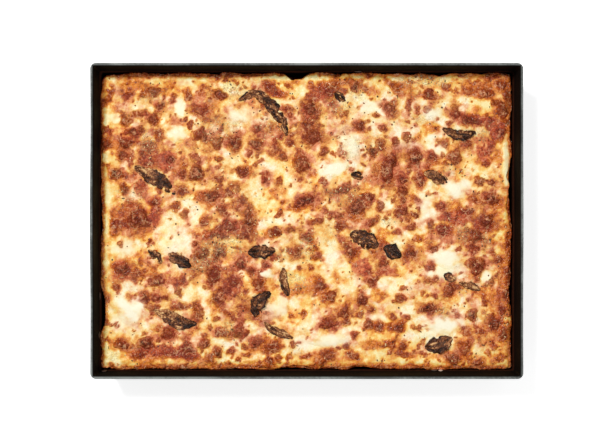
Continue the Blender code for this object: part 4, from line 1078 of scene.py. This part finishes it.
class Nodes:
    """Short calls for building a material's nodes."""

    def __init__(self, name):
        self.material = bpy.data.materials.new(name)
        self.material.use_nodes = True
        self.tree = self.material.node_tree
        self.shader = self.tree.nodes["Principled BSDF"]
        self.place = self.node("TexCoord").outputs["Object"]

    def node(self, kind, **sockets):
        """A new node, with numbers set on its sockets and outputs linked to them."""
        node = self.tree.nodes.new("ShaderNode" + kind)
        for name, value in sockets.items():
            self.link(value, node.inputs[name])
        return node

    def link(self, value, socket):
        if isinstance(value, (int, float)):
            socket.default_value = value
        elif isinstance(value, tuple):
            socket.default_value = (*value, 1.0) if len(value) == 3 else value
        else:
            self.tree.links.new(value, socket)

    def attribute(self, name):
        node = self.node("Attribute")
        node.attribute_name = name
        return node.outputs["Fac"]

    def noise(self, scale, detail=3.0, roughness=0.55, distortion=0.0):
        node = self.node("TexNoise", Scale=scale, Detail=detail, Roughness=roughness,
                         Distortion=distortion, Vector=self.place)
        return node.outputs["Fac"]

    def cells(self, scale, warp_scale, warp):
        """Distance from the seams of uneven cells, 0 on a seam."""
        bend = self.node("TexNoise", Scale=warp_scale, Vector=self.place)
        moved = self.node("VectorMath")
        moved.operation = "MULTIPLY_ADD"
        moved.inputs[1].default_value = (warp, warp, warp)
        self.tree.links.new(bend.outputs["Color"], moved.inputs[0])
        self.tree.links.new(self.place, moved.inputs[2])
        node = self.node("TexVoronoi", Vector=moved.outputs[0])
        node.feature = "DISTANCE_TO_EDGE"
        node.inputs["Scale"].default_value = scale
        return node.outputs["Distance"]

    def math(self, operation, first, second=0.0, third=0.0):
        node = self.node("Math")
        node.operation = operation
        for value, socket in zip((first, second, third), node.inputs):
            self.link(value, socket)
        return node.outputs[0]

    def plus(self, first, second):
        return self.math("ADD", first, second)

    def minus(self, first, second):
        return self.math("SUBTRACT", first, second)

    def times(self, first, second):
        return self.math("MULTIPLY", first, second)

    def scaled(self, value, scale, offset):
        return self.math("MULTIPLY_ADD", value, scale, offset)

    def span(self, value, low, high, to_low=0.0, to_high=1.0):
        node = self.node("MapRange")
        node.interpolation_type = "SMOOTHSTEP"
        for given, name in ((value, "Value"), (low, "From Min"), (high, "From Max"),
                            (to_low, "To Min"), (to_high, "To Max")):
            self.link(given, node.inputs[name])
        return node.outputs["Result"]

    def ramp(self, value, stops):
        node = self.node("ValToRGB")
        band = node.color_ramp
        while len(band.elements) < len(stops):
            band.elements.new(0.5)
        for element, (place, colour) in zip(band.elements, stops):
            element.position = place
            element.color = (*linear(colour), 1.0)
        self.link(value, node.inputs["Fac"])
        return node.outputs["Color"]

    def mix(self, share, first, second):
        node = self.node("Mix")
        node.data_type = "RGBA"
        node.clamp_factor = True
        self.link(share, node.inputs["Factor"])
        self.link(first, node.inputs[6])
        self.link(second, node.inputs[7])
        return node.outputs[2]

    def tint(self, share, below, colour):
        return self.mix(share, below, linear(colour))

    def bump(self, height, strength, distance, below=None):
        node = self.node("Bump", Strength=strength, Distance=distance, Height=height)
        if below is not None:
            self.tree.links.new(below, node.inputs["Normal"])
        return node.outputs["Normal"]

    def finish(self, colour, roughness, normal=None, specular=0.5):
        """Links the shader. A value that is the same all over sits on its own socket."""
        self.link(colour, self.shader.inputs["Base Color"])
        self.link(roughness, self.shader.inputs["Roughness"])
        if normal is not None:
            self.link(normal, self.shader.inputs["Normal"])
        self.shader.inputs["Specular IOR Level"].default_value = specular
        return self.material


def linear(colour):
    """Turns a colour of 0 to 255 as seen on a screen into linear light."""
    made = []
    for part in colour:
        share = part / 255.0
        made.append(share / 12.92 if share <= 0.04045 else ((share + 0.055) / 1.055) ** 2.4)
    return tuple(made)


GOLDEN = (
    (0.00, (255, 246, 206)), (0.08, (252, 228, 168)), (0.20, (248, 208, 138)),
    (0.34, (242, 186, 102)), (0.50, (231, 154, 74)), (0.66, (217, 130, 62)), (0.80, (196, 102, 48)),
    (0.92, (170, 74, 30)), (1.00, (136, 51, 19)),
)
ROSY = (
    (0.00, (255, 244, 214)), (0.08, (252, 224, 180)), (0.20, (246, 198, 150)),
    (0.34, (236, 166, 116)), (0.50, (220, 130, 86)), (0.66, (210, 114, 72)), (0.80, (192, 89, 52)),
    (0.92, (168, 67, 37)), (1.00, (136, 49, 24)),
)
OILY = (
    (0.00, (255, 240, 176)), (0.08, (252, 224, 146)), (0.20, (249, 202, 106)),
    (0.34, (244, 172, 72)), (0.50, (232, 136, 46)), (0.66, (216, 114, 38)), (0.80, (194, 90, 32)),
    (0.92, (168, 68, 24)), (1.00, (136, 50, 18)),
)
SAUCED = (
    (0.00, (250, 206, 146)), (0.15, (240, 172, 106)), (0.34, (228, 134, 76)),
    (0.50, (216, 106, 62)), (0.66, (202, 88, 54)), (0.80, (182, 72, 46)), (1.00, (138, 50, 32)),
)


def food_material(name):
    """Baked cheese: from cream through gold and orange-brown to dark blisters."""
    made = Nodes(name)
    white = made.attribute("white")
    speckle = made.attribute("speckle")
    broad = made.noise(330.0, 3.0, 0.6)
    fine = made.noise(760.0, 3.0, 0.6)
    finer = made.noise(2100.0, 2.0, 0.6)
    shift = made.scaled(broad, 0.44, -0.22)
    shift = made.plus(shift, made.scaled(fine, 0.52, -0.26))
    shift = made.plus(shift, made.scaled(finer, 0.16, -0.08))
    calm = made.minus(1.0, made.times(white, 0.8))
    toast = made.attribute("toast")
    shift = made.times(shift, calm)
    shift = made.times(shift, made.span(toast, 0.05, 0.50, 0.55, 1.10))
    raised = made.attribute("crown")
    toasted = made.plus(toast, shift)
    rosy = made.span(made.plus(made.attribute("rosy"), shift), 0.25, 0.75)
    colour = made.mix(rosy, made.ramp(toasted, GOLDEN), made.ramp(toasted, ROSY))
    oil = made.attribute("oil")
    oily = made.span(made.plus(oil, shift), 0.25, 0.85, 0.0, 0.96)
    colour = made.mix(oily, colour, made.ramp(toasted, OILY))
    sauce = made.span(made.plus(made.attribute("sauce"), shift), 0.30, 0.85, 0.0, 0.85)
    colour = made.mix(sauce, colour, made.ramp(toasted, SAUCED))
    mottle = made.noise(250.0, 2.0, 0.5, 0.9)
    centre = made.ramp(mottle, (
        (0.37, (52, 14, 6)), (0.46, (118, 44, 25)), (0.56, (166, 78, 48)), (0.65, (218, 142, 100)),
    ))
    colour = made.mix(made.times(raised, 0.84), colour, centre)
    bubbles = made.cells(215.0, 260.0, 0.005)
    froth = made.cells(430.0, 420.0, 0.003)
    bubble_seam = made.span(bubbles, 0.02, 0.13, 1.0, 0.0)
    froth_seam = made.span(froth, 0.04, 0.20, 1.0, 0.0)
    where = made.noise(150.0, 2.0, 0.6)
    # Dark red-brown creases along the seams: browning, with painted shade in the creases
    browned_crease_shade = made.times(bubble_seam, made.span(where, 0.44, 0.56))
    browned_crease_shade = made.math("MAXIMUM", browned_crease_shade,
                      made.times(froth_seam, made.span(broad, 0.50, 0.60, 0.0, 0.35)))
    browned_crease_shade = made.times(browned_crease_shade, made.span(toast, 0.30, 0.72, 0.0, 0.60))
    colour = made.tint(browned_crease_shade, colour, (108, 40, 18))
    # Painted highlight: light lines along the seams beside the creases
    painted_highlight_lines = made.times(bubble_seam, made.span(where, 0.40, 0.50, 1.0, 0.0))
    painted_highlight_lines = made.math("MAXIMUM", painted_highlight_lines,
                     made.times(froth_seam, made.span(broad, 0.38, 0.47, 0.35, 0.0)))
    light = made.times(painted_highlight_lines, made.span(toast, 0.40, 0.85, 0.0, 0.40))
    colour = made.tint(light, colour, (246, 196, 142))
    dusty = made.times(speckle, made.span(made.noise(880.0, 2.0), 0.46, 0.62, 0.0, 0.7))
    colour = made.tint(dusty, colour, (172, 150, 104))
    milk = made.times(white, made.span(broad, 0.25, 0.5, 0.65, 0.98))
    milk = made.times(milk, made.span(toast, 0.35, 0.75, 1.0, 0.25))
    colour = made.tint(milk, colour, (254, 247, 220))
    gloss = made.span(oil, 0.2, 0.9, 0.48, 0.24)
    gloss = made.scaled(made.minus(fine, 0.5), 0.4, gloss)
    gloss = made.minus(gloss, made.span(toast, 0.55, 0.85, 0.0, 0.12))
    grain = made.bump(fine, 0.45, 0.0007)
    lively = made.span(toast, 0.35, 0.75, 0.0, 1.0)
    foam = made.bump(made.times(lively, made.span(froth, 0.0, 0.35)), 0.35, 0.0007, grain)
    pores = made.bump(made.times(lively, made.span(bubbles, 0.0, 0.40)), 0.70, 0.0014, foam)
    return made.finish(colour, gloss, pores, 0.27)


def leaf_material():
    """Baked basil: near black, purple-brown where thin, tan streaks, and painted highlight on
    ridges.
    """
    made = Nodes("baked_basil")
    rib = made.attribute("rib")
    tone_sheen = made.attribute("tone_sheen")
    fine = made.noise(900.0, 3.0, 0.6)
    finer = made.noise(2200.0, 2.0, 0.6)
    tone = made.scaled(made.minus(fine, 0.5), 0.9, tone_sheen)
    colour = made.ramp(tone, (
        (0.00, (18, 9, 5)), (0.28, (50, 25, 13)), (0.48, (98, 54, 30)), (0.68, (168, 106, 64)),
        (0.90, (236, 188, 128)),
    ))
    midrib = made.span(rib, 0.02, 0.12, 0.3, 0.0)
    colour = made.tint(midrib, colour, (100, 72, 44))
    slant = made.times(made.attribute("run"), -2.2)
    veins = made.math("SINE", made.scaled(rib, 9.0, slant))
    relief = made.scaled(veins, 0.3, finer)
    return made.finish(
        colour, made.span(fine, 0.35, 0.65, 0.20, 0.55), made.bump(relief, 0.6, 0.0006), 0.24)


def fleck_material(name, dark, light, roughness):
    """Small dry pieces whose shade changes from one to the next."""
    made = Nodes(name)
    colour = made.mix(made.attribute("shade"), linear(dark), linear(light))
    return made.finish(colour, made.span(made.noise(1500.0), 0.3, 0.7, roughness, 0.8))


def pan_material():
    """Seasoned black steel, browned by oil inside; a painted grey reflection lines the roll's
    outside.
    """
    made = Nodes("black_steel")
    broad = made.noise(24.0, 4.0, 0.6)
    fine = made.noise(420.0, 3.0, 0.6)
    split = made.node("SeparateXYZ", Vector=made.place)
    level = split.outputs["Z"]
    blend = made.scaled(fine, 0.3, made.times(broad, 0.7))
    season = made.ramp(blend, ((0.30, (4, 4, 4)), (0.50, (8, 7, 6)), (0.75, (18, 12, 9))))

    def past(inset, axis, reach):
        """How far a place lies past a line that runs inside one side of the rim."""
        return made.minus(made.math("ABSOLUTE", split.outputs[axis]), (reach / 2 - inset) * MM)

    sides = (("X", RIM_LENGTH), ("Y", RIM_WIDTH))
    # Painted reflection: the roll's outer side and top are tinted grey in patches
    outward = made.span(
        made.math("MAXIMUM", *[past(1.2, *side) for side in sides]), -0.0017, -0.0002)
    high = made.span(level, 0.0560, 0.0578)
    reflection_patchiness = made.span(blend, 0.38, 0.62, 0.35, 1.0)
    painted_rim_reflection = made.times(made.times(outward, high), reflection_patchiness)
    colour = made.tint(painted_rim_reflection, season, (142, 146, 143))
    lean = made.times(made.minus(PAN_HEIGHT * MM, level), math.tan(WALL_TAPER))
    # The distance outside the middle of the wall's sheet, round the corner too
    corner = WALL_CORNER_RADIUS * MM
    legs = [made.math("MAXIMUM", made.plus(made.plus(past(2.6, *side), lean), corner), 0.0)
            for side in sides]
    squares = made.plus(*[made.times(leg, leg) for leg in legs])
    beyond = made.minus(made.math("SQRT", squares), corner)
    within = made.span(beyond, -0.0006, 0.0006, 1.0, 0.0)
    baked = made.times(
        made.span(level, 0.0330, 0.0385, 0.75, 0.0), made.span(fine, 0.35, 0.6, 0.5, 1.0))
    baked = made.times(baked, made.span(level, 0.0240, 0.0300))
    colour = made.tint(made.times(baked, within), colour, (96, 50, 31))
    roughness = made.scaled(within, 0.34, made.span(broad, 0.3, 0.7, 0.40, 0.60))
    return made.finish(colour, roughness, made.bump(fine, 0.12, 0.0003), 0.07)


def scatter_places(draw, wanted, always):
    """Random places for small pieces, more of them where the speckle is strong."""
    half = wall_half(CHEESE_TOP)
    x = draw.uniform(-half[0] + 5, half[0] - 5, wanted * 14)
    y = draw.uniform(-half[1] + 5, half[1] - 5, wanted * 14)
    top = Top(x, y)
    likely = always + (1.0 - always) * top.speckle ** 1.5
    likely *= 1.0 - 0.8 * np.maximum(top.crown, smooth_step((top.blistered - 0.5) / 0.3))
    kept = np.flatnonzero(draw.uniform(0.0, 1.0, len(x)) < likely)
    kept = kept[:wanted]
    return x[kept], y[kept], top.level[kept]


def make_scattered(name, seed, wanted, always, sizes, corners, material, lift):
    """Many small closed pieces laid on the top, as one mesh."""
    draw = np.random.default_rng(seed)
    x, y, level = scatter_places(draw, wanted, always)
    body = np.array(corners[0], dtype=float)
    faces = corners[1]
    points = []
    everywhere = []
    shade = []
    for number in range(len(x)):
        size = np.array([draw.uniform(*span) for span in sizes]) / 2
        shape = body * size * draw.uniform(0.75, 1.25, body.shape)
        turn, lean, roll = [
            draw.uniform(*span) for span in ((0, 2 * np.pi), (-0.5, 0.5), (-0.5, 0.5))
        ]
        tilted = shape @ np.array([
            [math.cos(lean), 0.0, -math.sin(lean)],
            [math.sin(roll) * math.sin(lean), math.cos(roll), math.sin(roll) * math.cos(lean)],
            [math.cos(roll) * math.sin(lean), -math.sin(roll), math.cos(roll) * math.cos(lean)],
        ])
        spin = np.array([
            [math.cos(turn), math.sin(turn), 0], [-math.sin(turn), math.cos(turn), 0], [0, 0, 1],
        ])
        placed = tilted @ spin + np.array([x[number], y[number], level[number] + lift])
        first = len(points)
        points += [tuple(point) for point in placed]
        everywhere += [tuple(first + corner for corner in face) for face in faces]
        shade += [draw.uniform(0.0, 1.0)] * len(body)
    add_piece(mesh_from(name, points, everywhere), {"shade": np.array(shade)}, material)


FLAKE = (
    ((1, 0, 0), (0.4, 0.9, 0.1), (-0.5, 0.8, 0), (-1, 0, 0.1), (-0.4, -0.9, 0), (0.5, -0.8, 0.1),
     (0, 0, 1), (0, 0, -1)),
    tuple((i, (i + 1) % 6, 6) for i in range(6)) + tuple(((i + 1) % 6, i, 7) for i in range(6)),
)


def round_body():
    """A small round body of twelve corners."""
    long = (1 + math.sqrt(5)) / 2
    size = math.hypot(1, long)
    corners = []
    for a in (-1, 1):
        for b in (-long, long):
            corners += [(0, a / size, b / size), (a / size, b / size, 0), (b / size, 0, a / size)]
    shape = bmesh.new()
    for corner in corners:
        shape.verts.new(corner)
    bmesh.ops.convex_hull(shape, input=shape.verts)
    bmesh.ops.recalc_face_normals(shape, faces=shape.faces)
    shape.verts.index_update()
    body = tuple(tuple(vert.co) for vert in shape.verts)
    faces = tuple(tuple(vert.index for vert in face.verts) for face in shape.faces)
    shape.free()
    return body, faces


# Small pieces: name, material, seed, how many, share that falls where nothing speckles the
# top, ranges of length, width and thickness, darkest and lightest colour, least roughness,
# slot, how far the middle stands over the top, and whether they are flat
FLECKS = (
    ("herb_flecks", "dried_herbs", 501, 110, 0.006, ((1.0, 3.4), (0.6, 1.5), (0.2, 0.4)),
     (56, 38, 22), (136, 104, 62), 0.6, "baked_basil", 0.15, True),
    ("grated_cheese", "grated_cheese", 502, 460, 0.04, ((1.6, 4.2), (0.8, 1.4), (0.4, 0.7)),
     (222, 168, 104), (250, 222, 168), 0.6, "melted_cheese", 0.12, False),
    ("burnt_crumbs", "burnt_crumbs", 503, 300, 0.20, ((1.0, 2.6), (0.8, 1.7), (0.4, 0.8)),
     (62, 26, 14), (156, 80, 38), 0.4, "melted_cheese", 0.15, False),
)


def make_flecks():
    """Dried herbs, grated hard cheese and burnt crumbs over the top."""
    for name, kind, seed, wanted, always, sizes, dark, light, roughness, slot, lift, flat in FLECKS:
        material = fleck_material(kind, dark, light, roughness)
        body = FLAKE if flat else round_body()
        make_scattered(name, seed, wanted, always, sizes, body, material, lift)


# Scraps baked onto the walls: side, place along it, level, length, height, how light
WALL_SCRAPS = (
    ("bottom", 114, 36.5, 4.0, 5.0, 0.95),
    ("bottom", 109, 35.5, 5.0, 4.0, 0.10),
    ("bottom", -172, 39.0, 5.0, 9.0, 0.03),
    ("left", -97, 38.0, 6.0, 7.0, 0.02),
    ("left", -64, 36.0, 7.0, 4.0, 0.05),
    ("top", 44, 36.0, 6.0, 4.0, 0.08),
)
SCRAP_ROWS = 9
SCRAP_SIDES = 16


def make_scraps():
    """Small scraps of cheese and sauce stuck to the walls, as one mesh."""
    rows, sides = SCRAP_ROWS, SCRAP_SIDES
    points = []
    faces = []
    shade = []
    for number, (side, along, level, length, height, light) in enumerate(WALL_SCRAPS):
        half_x, half_y = wall_half(level)
        first = len(points)
        for row in range(rows):
            rise = math.pi * (row + 0.5) / rows
            for step in range(sides):
                turn = 2 * math.pi * step / sides
                lump = 1.0 + 0.22 * math.sin(3 * turn + number) * math.sin(2 * rise + number)
                run = lump * length / 2 * math.sin(rise) * math.cos(turn)
                up = lump * height / 2 * math.cos(rise)
                lean = up * math.tan(WALL_TAPER)
                out = 0.75 + 0.65 * math.sin(rise) * math.sin(turn) - lean
                sign = 1 if side in ("right", "top") else -1
                if side in ("left", "right"):
                    points.append((sign * (half_x - out), along + run, level + up))
                else:
                    points.append((along + run, sign * (half_y - out), level + up))
        turned = side in ("right", "bottom")
        for row in range(rows - 1):
            band = ring_faces(first + row * sides, first + (row + 1) * sides, sides)
            faces += [tuple(reversed(face)) if turned else face for face in band]
        for start, flip in ((first, turned), (first + (rows - 1) * sides, not turned)):
            cap = tuple(start + i for i in range(sides))
            faces.append(cap if flip else tuple(reversed(cap)))
        shade += [light] * (rows * sides)
    burnt = fleck_material("wall_scraps", (44, 18, 12), (240, 206, 186), 0.4)
    mesh = mesh_from("wall_scraps", points, faces)
    add_piece(mesh, {"shade": np.array(shade)}, burnt)


def make_floor():
    """A wide plain floor under the pan that glows a little, so that it stays white."""
    bpy.ops.mesh.primitive_plane_add(size=FLOOR_SIZE, location=(0.0, 0.0, FLOOR_LEVEL))
    floor = bpy.context.object
    floor.name = "floor"
    matte = Nodes("pale_floor")
    matte.shader.inputs["Emission Color"].default_value = (1.0, 1.0, 1.0, 1.0)
    matte.shader.inputs["Emission Strength"].default_value = FLOOR_GLOW
    floor.data.materials.append(matte.finish(linear((252, 252, 252)), 0.9))


def make_lights():
    """Soft daylight from above the photo's top edge, a wide fill and a pale surround."""
    for name, place, size, power, colour in LAMPS:
        lamp = bpy.data.lights.new(name, "AREA")
        lamp.shape = "RECTANGLE"
        lamp.size, lamp.size_y = size
        lamp.energy = power
        lamp.color = colour
        made = bpy.data.objects.new(name, lamp)
        made.location = place
        bpy.context.scene.collection.objects.link(made)
        aim = -made.location
        made.rotation_euler = aim.to_track_quat("-Z", "Y").to_euler()
    world = bpy.data.worlds.new("studio")
    bpy.context.scene.world = world
    world.use_nodes = True
    background = world.node_tree.nodes["Background"]
    background.inputs["Color"].default_value = (1.0, 1.0, 1.0, 1.0)
    background.inputs["Strength"].default_value = WORLD_LIGHT


def make_camera():
    """Looks straight down from about 1.2 m over the rim, the photo's top towards +Y."""
    lens = bpy.data.cameras.new("camera")
    lens.sensor_width = SENSOR_WIDTH
    lens.lens = LENS
    camera = bpy.data.objects.new("camera", lens)
    camera.location = CAMERA_PLACE
    bpy.context.scene.collection.objects.link(camera)
    bpy.context.scene.camera = camera


def main():
    bpy.context.scene.view_settings.view_transform = "Standard"
    make_pan(pan_material())
    make_cheese(food_material("melted_cheese"))
    make_crust(food_material("baked_crust"))
    soft = food_material("fresh_cheese")
    for number, spot in enumerate(FRESH_CHEESE, start=1):
        make_pool(number, spot, soft)
    basil = leaf_material()
    for number, ((midrib, width), look) in enumerate(zip(BASIL, BASIL_LOOK), start=1):
        make_leaf(number, midrib, width, look, basil)
    make_flecks()
    make_scraps()
    make_floor()
    make_lights()
    make_camera()


main()
